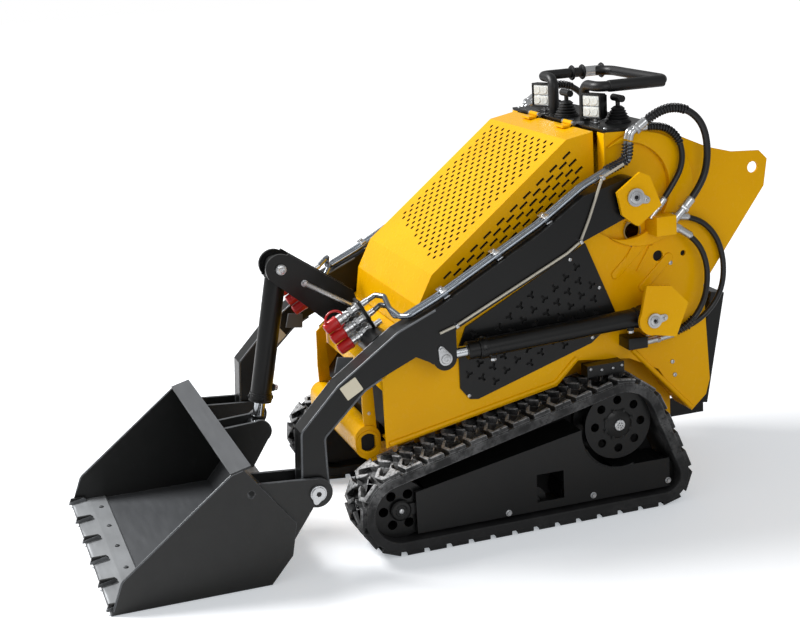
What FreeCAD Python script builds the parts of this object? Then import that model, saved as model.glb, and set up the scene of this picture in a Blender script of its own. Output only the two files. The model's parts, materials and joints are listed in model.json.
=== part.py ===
"""Compact track loader: a walk-behind loader on rubber tracks, with a lift boom and a bucket.

Millimetres. X runs across the machine (left is +X), -Y is forward, +Z is up, and the
ground is Z = 0.  The origin is on the ground under the middle of the machine.
"""

import FreeCAD, Part
import math
import os
import re

import Sketcher
from FreeCAD import Placement, Rotation, Vector

# Driving dimensions.  Heights are above the ground; "y" values are along the machine.
SIZES = {
    # Sheet and plate
    "sheet": 5, "plate": 8, "heavy_plate": 12, "slip": 0.3, "running_gap": 6,
    # Tracks: a rubber belt round a front idler, a rear idler and a high drive sprocket
    "track_center_x": 351, "track_width": 180, "belt_thickness": 22, "lug_height": 22,
    "front_idler_radius": 90, "front_idler_y": -195, "rear_idler_radius": 52, "rear_idler_y": 670,
    "sprocket_radius": 112, "sprocket_y": 528, "sprocket_height": 283, "roller_radius": 42,
    "roller_axle_radius": 13, "roller_pitch": 135, "first_roller_y": -35, "wheel_width": 96, "track_axle_radius": 22,
    "track_frame_depth": 122, "track_frame_front": -150, "track_frame_rear": 693,
    "track_frame_bottom": 56, "track_frame_nose": 188, "track_frame_tail": 151,
    "track_frame_peak": 294, "track_frame_peak_y": 409, "sprocket_arch_radius": 134,
    "window_size": 90, "window_y": 285, "window_height": 128,
    "motor_radius": 72, "stub_height": 60, "stub_length": 60, "front_stub_y": 60, "rear_stub_y": 330,
    "stub_bottom": 132, "tension_arm_height": 34, "relief": 8,
    # Body: a belly box between the tracks and two side plates above them
    "belly_half_width": 232, "belly_front": -138, "belly_rear": 800, "belly_bottom": 110,
    "belly_top": 500, "body_half_width": 345, "body_front": -207, "body_front_bottom": 312,
    "body_front_top": 526, "body_rear": 861, "flare_y": 351, "flare_height": 419, "arch_front": 425,
    "arch_rear": 600, "arch_height": 490, "tail_low_y": 816, "tail_low_height": 265, "tail_waist": 671,
    "deck_nose_y": -100, "deck_nose_height": 610, "deck_bend_y": 400, "deck_bend_rise": 250,
    "deck_rise_y": 450, "deck_rise": 40, "tower_front": 533, "tower_front_rise": 100,
    "tower_rear": 722,
    # Hood
    "hood_half_width": 300, "hood_front_bottom_y": -82, "hood_brow_y": -68, "hood_brow_height": 720,
    "hood_fold_y": -20, "hood_fold_height": 810, "hood_crest_y": 428, "hood_crest_drop": 16,
    "hood_rear": 516, "top_height": 1182, "hood_hinge_rise": 10, "hood_leaf_length": 34,
    "hood_leaf_thickness": 5, "hood_knuckle_radius": 7, "hood_pin_radius": 4, "hood_knuckle_x": 100, "hood_knuckle_length": 60,
    "hood_ear_width": 9,
    "console_front": 528,
    # Boom and its pins
    "boom_pin_y": 573, "boom_pin_height": 1000, "boom_pin_radius": 20, "boom_end_radius": 55,
    "arm_inner_x": 362, "arm_thickness": 68, "outer_ear_inner_x": 445,
    "lift_pin_y": 628, "lift_pin_height": 615, "lift_pin_radius": 16,
    "lift_lug_y": -37, "lift_lug_height": 588, "lift_lug_radius": 36,
    "cross_tube_y": -202, "cross_tube_height": 628, "cross_tube_radius": 42,
    "arm_wall": 7, "pin_head": 8, "bracket_web": 12,
    # Bucket
    "bucket_pin_y": -454, "bucket_pin_height": 252, "bucket_pin_radius": 17,
    "bucket_end_radius": 44, "bucket_overhang": 9, "ear_gap": 6, "bucket_wall": 8,
    "bucket_ground_gap": 1, "bucket_tip_y": -1087,
    "wing_hole_y": 1036, "wing_hole_height": 1024, "wing_hole_radius": 18,
    # Cylinders
    "lift_barrel_radius": 29, "lift_rod_radius": 17, "lift_barrel_start": 24, "lift_barrel_end": 550, "lift_rod_start": 100,
    "cylinder_x": 396, "cylinder_eye_radius": 30, "cylinder_eye_width": 50,
    "tilt_pin_y": -416, "tilt_pin_height": 828, "tilt_rod_pin_y": -521,
    "tilt_rod_pin_height": 325, "tilt_barrel_radius": 33, "tilt_rod_radius": 18,
    "tilt_barrel_start": 24, "tilt_barrel_end": 428, "tilt_rod_start": 120,
    "tilt_ear_gap": 76, "tilt_eye_radius": 30, "tilt_eye_width": 70, "tilt_pin_radius": 16, "tilt_ear_thickness": 12,
    "barrel_wall": 6, "gland_length": 26, "gland_lip": 3,
    # Operator's end
    "platform_hinge_y": 905, "platform_hinge_height": 236, "platform_half_width": 205,
    "platform_length": 372, "platform_thickness": 48, "platform_hinge_radius": 14,
    "platform_pin_radius": 8, "platform_lean": 10,
    "handle_radius": 16, "handle_leg_x": 114, "handle_leg_y": 579, "handle_half_width": 215,
    "handle_rear_y": 820, "handle_rise": 120, "handle_bend": 60,
    "lamp_x": 187, "lamp_y": 560, "lamp_rise": 62, "lamp_size": 80, "lamp_depth": 42,
    # Grille: round holes over the hood's slope, slots down its sides
    "grille_hole_radius": 7, "grille_pitch_x": 48, "grille_row_pitch": 17, "grille_half_width": 240,
    "grille_start": 36, "grille_skew": 0.167, "grille_end": 545,
    "slot_length": 31, "slot_width": 8, "slot_pitch": 56.5, "slot_row_pitch": 15.6,
    "slot_first_depth": 36.5, "slot_start": 34, "slot_rows": 9, "slot_floor_gap": 26,
    # Side doors and their three-armed openings
    "door_thickness": 6, "door_arm_length": 13, "door_arm_width": 8, "door_pitch": 46,
    "door_row_pitch": 40, "door_margin": 27, "door_lean": 38,
    # Tower: two stepped recesses and service holes
    "recess_y": 647, "recess_height": 1000, "recess_radius": 176, "recess_depth": 2.5,
    "inner_recess_y": 593, "inner_recess_radius": 147,
    "port_hole_radius": 26, "port_washer_radius": 38, "rib_height": 5, "rib_width": 12,
    # Tread blocks
    "lug_pitch": 72, "lug_base": 36, "lug_top": 24,
    # Wheel webs
    "sprocket_web": 12, "sprocket_hub": 70, "web_hole_radius": 14, "web_hole_ring": 78,
    "idler_hole_radius": 15, "idler_hole_ring": 52,
    # Front cross tube, its panel, uprights and the boxes over the tracks
    "front_tube_y": -237, "front_tube_height": 308, "front_tube_radius": 40, "front_tube_bore": 22,
    "front_tube_rise": 13, "front_tube_half_width": 255, "front_lip": 36,
    "upright_x": 244, "upright_thickness": 8, "fender_box_front": 434, "fender_box_length": 124,
    "fender_box_height": 36, "fender_box_reach": 46,
    # Boom pipes, coupler and hoses
    "pipe_radius": 8, "pipe_inner_x": 378, "pipe_outer_x": 402, "pipe_rise": 12,
    "coupler_x": 262, "coupler_width": 40, "coupler_y": -286, "coupler_length": 36,
    "coupler_bottom": 600, "coupler_height": 134, "coupling_radius": 14, "coupling_length": 52,
    "cap_radius": 17, "cap_length": 32, "hose_radius": 11, "cylinder_hose_radius": 9,
    "port_block_y": 566, "port_block_height": 540, "port_block_size": 34, "fitting_radius": 13,
    # Bucket edge
    "tooth_count": 6, "tooth_width": 24, "tooth_length": 58, "tooth_thickness": 10, "tooth_reach": 10,
    "lip_width": 60, "lip_thickness": 6,
    # Levers
    "lever_left_x": -14, "lever_left_y": 577, "lever_right_x": 222, "lever_right_y": 640,
    "lever_base_radius": 36, "lever_boot_height": 46, "lever_rod_radius": 7, "lever_height": 74,
    # Engine, one plain block
    "engine_width": 380, "engine_length": 420, "engine_height": 400, "engine_front": 5,
    "engine_bottom": 345, "rail_width": 40, "rail_height": 30,
}

# Sizes that follow from others
DERIVED = {
    "deck_bend_height": "deck_nose_height + deck_bend_rise",
    "deck_rise_height": "deck_bend_height + deck_rise",
    "tower_front_height": "deck_rise_height + tower_front_rise",
    "hood_crest_height": "top_height - hood_crest_drop",
    "handle_height": "top_height + handle_rise",
    "lamp_height": "top_height + lamp_rise",
    "bucket_edge_y": "bucket_tip_y + tooth_reach",
    "bucket_half_width": "arm_inner_x + arm_thickness + ear_gap + tilt_ear_thickness + bucket_overhang",
    "side_inner": "body_half_width - plate",
}

doc = FreeCAD.newDocument("CompactTrackLoader")
sheet = doc.addObject("Spreadsheet::Sheet", "Sizes")
for row, (alias, number) in enumerate((SIZES | DERIVED).items(), start=1):
    sheet.set(f"A{row}", alias)
    sheet.set(f"B{row}", f"={number}")
    sheet.setAlias(f"B{row}", alias)
doc.recompute()

NODES = []


def bound(text):
    """The expression with each size's name pointing at its cell in the sheet."""
    return re.sub(r"[a-z]\w*", lambda m: f"Sizes.{m[0]}" if m[0] in SIZES or m[0] in DERIVED else m[0], str(text))


def value(text):
    """The expression's value now."""
    return float(sheet.evalExpression(bound(text)))


def bind(thing, **expressions):
    """Binds properties to expressions; a double underscore in a name stands for a dot."""
    for name, text in expressions.items():
        thing.setExpression(name.replace("__", "."), bound(text))
    return thing


def place(thing, x="0", y="0", z="0"):
    """Binds where a thing stands."""
    return bind(thing, Placement__Base__x=x, Placement__Base__y=y, Placement__Base__z=z)


def node(thing, label):
    """Marks an object as one of the model's sub-parts."""
    thing.Label = label
    NODES.append(thing)
    return thing


# Sketches and PartDesign bodies ---------------------------------------------------------


def new_body(name):
    return doc.addObject("PartDesign::Body", name)


def plane_of(body, role):
    return next(item for item in body.Origin.OriginFeatures if item.Role == role)


def new_sketch(body, name, role="YZ_Plane", offset="0"):
    """A sketch on one of the body's own planes, moved along the plane's normal."""
    sketch = body.newObject("Sketcher::SketchObject", name)
    sketch.AttachmentSupport = [(plane_of(body, role), "")]
    sketch.MapMode = "FlatFace"
    sketch.setExpression("AttachmentOffset.Base.z", bound(offset))
    return sketch


def hold(sketch, kind, geometry, point, text):
    """Holds one coordinate of a sketch's point at an expression's value."""
    index = sketch.addConstraint(Sketcher.Constraint(kind, -1, 1, geometry, point, value(text)))
    sketch.setExpression(f"Constraints[{index}]", bound(text))


def draw_polygon(sketch, corners):
    """A closed outline through corners given as pairs of expressions."""
    points = [Vector(value(a), value(b), 0) for a, b in corners]
    first = sketch.GeometryCount
    for index, point in enumerate(points):
        following = points[(index + 1) % len(points)]
        sketch.addGeometry(Part.LineSegment(point, following), False)
    for index, (a, b) in enumerate(corners):
        before = first + (index - 1) % len(corners)
        sketch.addConstraint(Sketcher.Constraint("Coincident", before, 2, first + index, 1))
        hold(sketch, "DistanceX", first + index, 1, a)
        hold(sketch, "DistanceY", first + index, 1, b)


def draw_circle(sketch, a, b, radius):
    """A circle whose centre and radius are expressions."""
    centre = Vector(value(a), value(b), 0)
    index = sketch.addGeometry(Part.Circle(centre, Vector(0, 0, 1), value(radius)), False)
    hold(sketch, "DistanceX", index, 3, a)
    hold(sketch, "DistanceY", index, 3, b)
    size = sketch.addConstraint(Sketcher.Constraint("Radius", index, value(radius)))
    sketch.setExpression(f"Constraints[{size}]", bound(radius))


def add_pad(body, sketch, length, name="Pad", midplane=False):
    pad = body.newObject("PartDesign::Pad", name)
    pad.Profile = sketch
    pad.Midplane = midplane
    bind(pad, Length=length)
    doc.recompute()
    return pad


def add_pocket(body, sketch, length, name="Pocket", midplane=False, reverse=False):
    """A pocket, which must take material away."""
    doc.recompute()
    broken = [item.Name + str(item.State) for item in body.Group if "Invalid" in item.State]
    if broken:
        raise ValueError(f"{body.Label}: {broken}")
    before = body.Shape.Volume
    pocket = body.newObject("PartDesign::Pocket", name)
    pocket.Profile = sketch
    pocket.Midplane = midplane
    pocket.Reversed = reverse
    bind(pocket, Length=length)
    doc.recompute()
    if not body.Shape.Volume < before:
        raise ValueError(f"{body.Label}: {name} cuts nothing")
    return pocket


def round_corners(body, corners, radius, axis="x"):
    """Fillets the straight edges that stand along an axis at the given corners."""
    base = body.Tip
    wanted = [(value(a), value(b)) for a, b in corners]
    names = []
    for index, edge in enumerate(base.Shape.Edges, start=1):
        if len(edge.Vertexes) != 2:
            continue
        start, end = edge.Vertexes[0].Point, edge.Vertexes[1].Point
        along = {"x": Vector(1, 0, 0), "y": Vector(0, 1, 0), "z": Vector(0, 0, 1)}[axis]
        run = end - start
        if run.Length < 1e-6 or abs(run.normalize().dot(along)) < 0.9999:
            continue
        flat = {"x": (start.y, start.z), "y": (start.x, start.z), "z": (start.x, start.y)}[axis]
        if any(math.dist(flat, spot) < 0.01 for spot in wanted):
            names.append(f"Edge{index}")
    fillet = body.newObject("PartDesign::Fillet", "Fillet")
    fillet.Base = (base, names)
    bind(fillet, Radius=radius)
    doc.recompute()
    return fillet


def add_plate(body, name, corners, low_x, thickness, lobes=(), rounded=()):
    """Adds a plate across X, with an outline and round lobes (y, z, radius) in Y and Z."""
    if corners:
        sketch = new_sketch(body, f"{name}Outline", offset=low_x)
        draw_polygon(sketch, corners)
        add_pad(body, sketch, thickness, f"{name}Pad")
        for spots, radius in rounded:
            round_corners(body, spots, radius)
    for index, lobe in enumerate(lobes):
        disc = new_sketch(body, f"{name}Lobe{index}", offset=low_x)
        draw_circle(disc, *lobe)
        add_pad(body, disc, thickness, f"{name}LobePad{index}")


def cut_through(body, name, low_x, depth, circles=(), polygons=()):
    """Cuts bores (y, z, radius) and openings along +X from a plane."""
    sketch = new_sketch(body, name, offset=low_x)
    for circle in circles:
        draw_circle(sketch, *circle)
    for corners in polygons:
        draw_polygon(sketch, corners)
    add_pocket(body, sketch, depth, f"{name}Pocket", reverse=True)


# Part primitives ------------------------------------------------------------------------


def box(x, y, z, width, length, height):
    """A box from its low corner."""
    item = doc.addObject("Part::Box", "Box")
    bind(item, Length=width, Width=length, Height=height)
    return place(item, x, y, z)


def rod_along_x(x, y, z, radius, length):
    """A cylinder whose axis runs along +X from the given point."""
    item = doc.addObject("Part::Cylinder", "Rod")
    item.Placement = Placement(Vector(), Rotation(Vector(0, 1, 0), 90))
    bind(item, Radius=radius, Height=length)
    return place(item, x, y, z)


def cut(base, *tools):
    for tool in tools:
        item = doc.addObject("Part::Cut", "Cut")
        item.Base, item.Tool = base, tool
        base = item
    return base


def fuse(*shapes):
    item = doc.addObject("Part::MultiFuse", "Fuse")
    item.Shapes = list(shapes)
    return item


def group(*shapes):
    """Like pieces on one body, as solids that don't touch."""
    item = doc.addObject("Part::Compound", "Group")
    item.Links = list(shapes)
    return item


def mirrored_x(x, width, side):
    """The low X of a piece that starts at x on the left, on either side."""
    return x if side > 0 else f"-(({x}) + ({width}))"


# Tracks ---------------------------------------------------------------------------------

TRACK_DEPTH = "(belt_thickness + lug_height)"
FRONT_IDLER_HEIGHT = f"(front_idler_radius + {TRACK_DEPTH})"
REAR_IDLER_HEIGHT = f"(rear_idler_radius + {TRACK_DEPTH})"
WHEELS = [
    ("front_idler_y", FRONT_IDLER_HEIGHT, "front_idler_radius"),
    ("rear_idler_y", REAR_IDLER_HEIGHT, "rear_idler_radius"),
    ("sprocket_y", "sprocket_height", "sprocket_radius"),
]


def tangent_run(here, there):
    """The outer tangent from one wheel to the next, going counter-clockwise round the loop."""
    (ay, az, ar), (by, bz, br) = here, there
    span = math.hypot(by - ay, bz - az)
    heading = math.atan2(bz - az, by - ay)
    lean = heading - math.pi / 2 + math.asin((ar - br) / span)
    out = Vector(math.cos(lean), math.sin(lean), 0)
    return Vector(ay, az, 0) + out * ar, Vector(by, bz, 0) + out * br


def draw_loop(sketch, offset):
    """The belt's closed line at an offset outside the wheels: an arc on each, joined by tangents."""
    wheels = [(value(y), value(z), value(f"{r} + {offset}")) for y, z, r in WHEELS]
    count = len(wheels)
    runs = [tangent_run(wheels[i], wheels[(i + 1) % count]) for i in range(count)]
    first = sketch.GeometryCount
    for start, end in runs:
        sketch.addGeometry(Part.LineSegment(start, end), False)
    for index, (y, z, radius) in enumerate(wheels):
        arrive, leave = runs[index - 1][1], runs[index][0]
        circle = Part.Circle(Vector(y, z, 0), Vector(0, 0, 1), radius)
        start, end = circle.parameter(arrive), circle.parameter(leave)
        sketch.addGeometry(Part.ArcOfCircle(circle, start, end), False)
    for index, (y, z, radius) in enumerate(WHEELS):
        arc = first + count + index
        hold(sketch, "DistanceX", arc, 3, y)
        hold(sketch, "DistanceY", arc, 3, z)
        size = sketch.addConstraint(Sketcher.Constraint("Radius", arc, wheels[index][2]))
        sketch.setExpression(f"Constraints[{size}]", bound(f"{radius} + {offset}"))
        before = first + (index - 1) % count
        sketch.addConstraint(Sketcher.Constraint("Tangent", before, 2, arc, 1))
        sketch.addConstraint(Sketcher.Constraint("Tangent", first + index, 1, arc, 2))


def belt_places(phase):
    """Points evenly spaced along the belt's outer face, with the outward direction and the wheel's radius."""
    wheels = [(value(y), value(z), value(f"{r} + belt_thickness")) for y, z, r in WHEELS]
    count = len(wheels)
    runs = [tangent_run(wheels[i], wheels[(i + 1) % count]) for i in range(count)]
    pieces = []
    for index in range(count):
        start, end = runs[index]
        ay, az, radius = wheels[(index + 1) % count]
        leave = runs[(index + 1) % count][0]
        before, after = (end - Vector(ay, az, 0)), (leave - Vector(ay, az, 0))
        sweep = (math.atan2(after.y, after.x) - math.atan2(before.y, before.x)) % (2 * math.pi)
        pieces.append(("run", start, end, (end - start).Length))
        pieces.append(("arc", (ay, az, radius, math.atan2(before.y, before.x)), sweep, sweep * radius))
    total = sum(piece[3] for piece in pieces)
    number = round(total / value("lug_pitch"))
    for block in range(number):
        along = (block + phase) * total / number
        for kind, first, second, length in pieces:
            if along <= length:
                break
            along -= length
        if kind == "run":
            way = (second - first).normalize()
            out = Vector(way.y, -way.x, 0)
            yield first + way * along, out, None
        else:
            ay, az, radius, angle = first
            out = Vector(math.cos(angle + along / radius), math.sin(angle + along / radius), 0)
            yield Vector(ay, az, 0) + out * radius, out, radius


def tread_blocks(low_x, width, phase):
    """One column of tapered tread blocks, whose tops keep inside the track's outer line."""
    base, top, rise = value("lug_base / 2"), value("lug_top / 2"), value("lug_height")
    blocks = []
    for spot, out, radius in belt_places(phase):
        way = Vector(-out.y, out.x, 0)
        reach = rise if radius is None else math.sqrt((radius + rise) ** 2 - top ** 2) - radius
        corners = [spot - way * base - out * 4, spot + way * base - out * 4, spot + way * top + out * reach,
                   spot - way * top + out * reach]
        points = [Vector(low_x, corner.x, corner.y) for corner in corners]
        blocks.append(Part.Face(Part.makePolygon(points + points[:1])).extrude(Vector(width, 0, 0)))
    return blocks


def make_track(name, side):
    body = new_body(f"{name}_belt")
    offset = mirrored_x("track_center_x - track_width / 2", "track_width", side)
    outer = new_sketch(body, "Outer", offset=offset)
    draw_loop(outer, "belt_thickness")
    draw_loop(outer, "0")
    add_pad(body, outer, "track_width")
    low, half = value(offset), value("track_width / 2")
    blocks = []
    for column in (0, 1):
        blocks += tread_blocks(low + column * half, half, 0.5 * column)
    belt = doc.addObject("Part::Feature", name)
    belt.Shape = body.Shape.multiFuse(blocks)
    node(belt, name)


FRAME_OUTER_X = "(track_center_x + track_width / 2 - 20)"


def make_track_frame(name, side):
    """A pressed beam: its outer plate and rim, open inwards and downwards over the rollers."""
    body = new_body(name)
    inner_x = f"({FRAME_OUTER_X} - track_frame_depth)"
    beam = new_sketch(body, "Beam", offset=mirrored_x(inner_x, "track_frame_depth", side))
    draw_polygon(beam, [
        ("track_frame_front", "track_frame_bottom"), ("track_frame_rear", "track_frame_bottom"),
        ("track_frame_rear", "track_frame_tail"), ("sprocket_y", "track_frame_tail"),
        ("track_frame_peak_y", "track_frame_peak"), ("track_frame_front", "track_frame_nose"),
    ])
    add_pad(body, beam, "track_frame_depth")
    hollow_x = mirrored_x(inner_x, "track_frame_depth - heavy_plate", side)
    hollow = new_sketch(body, "Hollow", offset=hollow_x)
    draw_polygon(hollow, [
        ("track_frame_front + heavy_plate", "track_frame_bottom - 10"),
        ("track_frame_rear - heavy_plate", "track_frame_bottom - 10"),
        ("track_frame_rear - heavy_plate", "track_frame_tail - heavy_plate"),
        ("sprocket_y - heavy_plate", "track_frame_tail - heavy_plate"),
        ("track_frame_peak_y - heavy_plate", "track_frame_peak - 2.5 * heavy_plate"),
        ("track_frame_front + heavy_plate", "track_frame_nose - 1.5 * heavy_plate"),
    ])
    add_pocket(body, hollow, "track_frame_depth - heavy_plate", "HollowPocket", reverse=True)
    for end, y, height, radius in (("Front", *WHEELS[0]), ("Rear", *WHEELS[1])):
        room = new_sketch(body, f"{end}Relief", offset=hollow_x)
        draw_circle(room, y, height, f"{radius} + relief")
        add_pocket(body, room, "track_frame_depth - heavy_plate", f"{end}ReliefPocket", reverse=True)
    arch = new_sketch(body, "Arch", offset=mirrored_x(inner_x, "track_frame_depth", side))
    draw_circle(arch, "sprocket_y", "sprocket_height", "sprocket_arch_radius")
    half = "window_size / 2"
    draw_polygon(arch, [
        (f"window_y - {half}", f"window_height - {half}"), (f"window_y + {half}", f"window_height - {half}"),
        (f"window_y + {half}", f"window_height + {half}"), (f"window_y - {half}", f"window_height + {half}"),
    ])
    add_pocket(body, arch, "track_frame_depth", "ArchPocket", reverse=True)
    arm_depth = f"({FRAME_OUTER_X} - heavy_plate - track_center_x - wheel_width / 2 - slip)"
    arm_x = mirrored_x("track_center_x + wheel_width / 2 + slip", arm_depth, side)
    reach = "tension_arm_height / 2"
    add_plate(body, "TensionArm", [
        ("front_idler_y", f"{FRONT_IDLER_HEIGHT} - {reach}"),
        ("track_frame_front + 2 * heavy_plate", f"{FRONT_IDLER_HEIGHT} - {reach}"),
        ("track_frame_front + 2 * heavy_plate", f"{FRONT_IDLER_HEIGHT} + {reach}"),
        ("front_idler_y", f"{FRONT_IDLER_HEIGHT} + {reach}"),
    ], arm_x, arm_depth, lobes=[("front_idler_y", FRONT_IDLER_HEIGHT, reach)])
    cut_through(body, "IdlerBore", arm_x, arm_depth,
                circles=[("front_idler_y", FRONT_IDLER_HEIGHT, "roller_axle_radius + slip")])
    node(body, name)


def make_wheel(side, y, height, radius):
    """A wheel on its axle, which runs out to the track frame."""
    axle_length = f"({FRAME_OUTER_X} - heavy_plate - track_center_x)"
    axle = rod_along_x(mirrored_x("track_center_x", axle_length, side), y, height, "roller_axle_radius", axle_length)
    low = mirrored_x("track_center_x - wheel_width / 2", "wheel_width", side)
    return fuse(rod_along_x(low, y, height, f"{radius} - slip", "wheel_width"), axle)


def ring_of_holes(side, y, height, hole_radius, ring, count):
    """Rods that cut a ring of holes through a wheel."""
    low = mirrored_x("track_center_x - wheel_width", "2 * wheel_width", side)
    step = 360 / count
    return [rod_along_x(low, f"{y} + {ring} * cos({step * k} * 1 deg)", f"{height} + {ring} * sin({step * k} * 1 deg)",
                        hole_radius, "2 * wheel_width") for k in range(count)]


def make_sprocket(side):
    """Two webs on a hub, with a ring of holes."""
    where = ("sprocket_y", "sprocket_height")
    webs = [rod_along_x(mirrored_x(x, "sprocket_web", side), *where, "sprocket_radius - slip", "sprocket_web")
            for x in ("track_center_x - wheel_width / 2", "track_center_x + wheel_width / 2 - sprocket_web")]
    hub = rod_along_x(mirrored_x("track_center_x - wheel_width / 2", "wheel_width", side), *where, "sprocket_hub",
                      "wheel_width")
    return cut(fuse(hub, *webs), *ring_of_holes(side, *where, "web_hole_radius", "web_hole_ring", 8))


SIDES = (("left", 1), ("right", -1))
for side_name, side in SIDES:
    make_track(f"track_{side_name}", side)
    make_track_frame(f"track_frame_{side_name}", side)
idlers, rollers, motors = [], [], []
for side_name, side in SIDES:
    front = make_wheel(side, *WHEELS[0])
    idlers.append(cut(front, *ring_of_holes(side, *WHEELS[0][:2], "idler_hole_radius", "idler_hole_ring", 6)))
    idlers.append(make_wheel(side, *WHEELS[1]))
    for index in range(5):
        rollers.append(make_wheel(side, f"first_roller_y + {index} * roller_pitch",
                                  f"{TRACK_DEPTH} + roller_radius", "roller_radius"))
    reach = "track_center_x - wheel_width / 2 - belly_half_width - slip"
    motors.append(rod_along_x(mirrored_x("belly_half_width + slip / 2", reach, side), "sprocket_y",
                              "sprocket_height", "motor_radius", reach))
node(group(*idlers), "idlers")
node(group(*rollers), "rollers")
node(group(*[make_sprocket(side) for _, side in SIDES]), "sprockets")
node(group(*motors), "drive_motors")

# Body -----------------------------------------------------------------------------------

SIDE_OUTLINE = [
    ("body_front", "body_front_bottom"), ("flare_y", "flare_height"), ("arch_front", "arch_height"),
    ("arch_rear", "arch_height - 20"), ("arch_rear + 100", "arch_height - 70"),
    ("tail_low_y - 56", "tail_low_height + 65"), ("tail_low_y", "tail_low_height"),
    ("tail_low_y + 52", "tail_low_height + 46"), ("tail_low_y + 66", "tail_low_height + 95"),
    ("body_rear", "tail_waist"), ("wing_hole_y + 40", "wing_hole_height - 62"),
    ("wing_hole_y + 51", "wing_hole_height + 22"), ("wing_hole_y + 23", "wing_hole_height + 50"),
    ("wing_hole_y - 72", "wing_hole_height + 56"), ("wing_hole_y - 158", "top_height - 78"),
    ("tower_rear", "top_height - 7"), ("tower_front", "top_height"),
    ("tower_front", "tower_front_height"), ("deck_rise_y", "deck_rise_height"),
    ("deck_bend_y", "deck_bend_height"), ("deck_nose_y", "deck_nose_height"),
    ("body_front", "body_front_top"),
]

PIVOT = ("boom_pin_y", "boom_pin_height")
LIFT_FOOT = ("lift_pin_y", "lift_pin_height")


# Ribs between the boom's pivot and the lift cylinder's foot: y, z, and how far they run
RIBS = [("lift_pin_y - 46", "lift_pin_height + 150", "60", "96"), ("lift_pin_y + 6", "lift_pin_height + 132", "46", "74")]


def make_side_plate(name, side):
    body = new_body(name)
    low = mirrored_x("side_inner", "plate", side)
    add_plate(body, "Side", SIDE_OUTLINE, low, "plate")
    cut_through(body, "Bores", low, "plate", circles=[
        (*PIVOT, "boom_pin_radius + slip"), (*LIFT_FOOT, "lift_pin_radius + slip"),
        ("wing_hole_y", "wing_hole_height", "wing_hole_radius"),
        ("lift_pin_y - 11", "lift_pin_height + 258", "port_hole_radius"),
        ("lift_pin_y + 76", "lift_pin_height + 169", "17"), ("lift_pin_y + 163", "lift_pin_height + 167", "9"),
    ])
    for step, y, radius in (("Outer", "recess_y", "recess_radius"), ("Inner", "inner_recess_y", "inner_recess_radius")):
        depth = "recess_depth" if step == "Outer" else "2 * recess_depth"
        disc = new_sketch(body, f"{step}Recess", offset=mirrored_x("body_half_width - " + depth, depth, side))
        draw_circle(disc, y, "recess_height", radius)
        add_pocket(body, disc, depth, f"{step}RecessPocket", reverse=True)
    rib_x = mirrored_x("body_half_width - 1", "rib_height + 1", side)
    for index, (y, z, along, rise) in enumerate(RIBS):
        add_plate(body, f"Rib{index}", [
            (f"{y} - rib_width / 2", z), (f"{y} + rib_width / 2", z),
            (f"{y} + {along} + rib_width / 2", f"{z} + {rise}"), (f"{y} + {along} - rib_width / 2", f"{z} + {rise}"),
        ], rib_x, "rib_height + 1")
    node(body, name)


def make_pivot_bracket(name, side):
    """The outer ear of the boom's pivot, on a web below and behind the arm's round end."""
    body = new_body(name)
    ear_x = mirrored_x("outer_ear_inner_x", "heavy_plate", side)
    y, z = PIVOT
    add_plate(body, "Ear", [
        (f"{y} - 58", f"{z} + 19"), (f"{y} - 43", f"{z} - 50"), (f"{y}", f"{z} - 85"),
        (f"{y} + 11", f"{z} - 88"), (f"{y} + 87", f"{z} - 34"), (f"{y} + 49", f"{z} + 59"),
        (f"{y} + 18", f"{z} + 72"),
    ], ear_x, "heavy_plate")
    web_x = mirrored_x("body_half_width", "outer_ear_inner_x - body_half_width", side)
    add_plate(body, "Web", [
        (f"{y}", f"{z} - 77"), (f"{y} + 7", f"{z} - 86"), (f"{y} + 80", f"{z} - 33"),
        (f"{y} + 73", f"{z} - 24"),
    ], web_x, "outer_ear_inner_x - body_half_width")
    cut_through(body, "Bore", ear_x, "heavy_plate", circles=[(y, z, "boom_pin_radius + slip")])
    return body


def make_cylinder_bracket(name, side):
    """The outer ear of the lift cylinder's foot, on a web behind its eye."""
    body = new_body(name)
    ear_x = mirrored_x("outer_ear_inner_x", "heavy_plate", side)
    y, z = LIFT_FOOT
    add_plate(body, "Ear", [
        (f"{y} - 22", f"{z} + 110"), (f"{y} - 46", f"{z}"), (f"{y}", f"{z} - 46"),
        (f"{y} + 76", f"{z} - 62"), (f"{y} + 118", f"{z} + 40"), (f"{y} + 60", f"{z} + 100"),
    ], ear_x, "heavy_plate", lobes=[(y, z, "47")])
    web_x = mirrored_x("body_half_width", "outer_ear_inner_x - body_half_width", side)
    add_plate(body, "Web", [
        (f"{y} + 64", f"{z} - 56"), (f"{y} + 76", f"{z} - 60"), (f"{y} + 117", f"{z} + 38"),
        (f"{y} + 105", f"{z} + 43"),
    ], web_x, "outer_ear_inner_x - body_half_width")
    cut_through(body, "Bore", ear_x, "heavy_plate", circles=[(y, z, "lift_pin_radius + slip")])
    return body


FENDER_LINE = [("body_front + 4 * sheet", "body_front_bottom")] + SIDE_OUTLINE[1:7]


def make_fender(name, side):
    """The sheet over the track, from the belly box out to the side plate."""
    body = new_body(name)
    width = f"side_inner - belly_half_width"
    above = [(y, f"{z} + sheet") for y, z in reversed(FENDER_LINE)]
    add_plate(body, "Fender", FENDER_LINE + above, mirrored_x("belly_half_width", width, side), width)
    return body


for side_name, side in SIDES:
    make_side_plate(f"side_plate_{side_name}", side)
node(group(*[make_pivot_bracket(f"PivotBracket{name}", side) for name, side in SIDES]), "pivot_brackets")
node(group(*[make_cylinder_bracket(f"CylinderBracket{name}", side) for name, side in SIDES]), "cylinder_brackets")
node(group(*[make_fender(f"Fender{name}", side) for name, side in SIDES]), "fenders")


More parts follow.
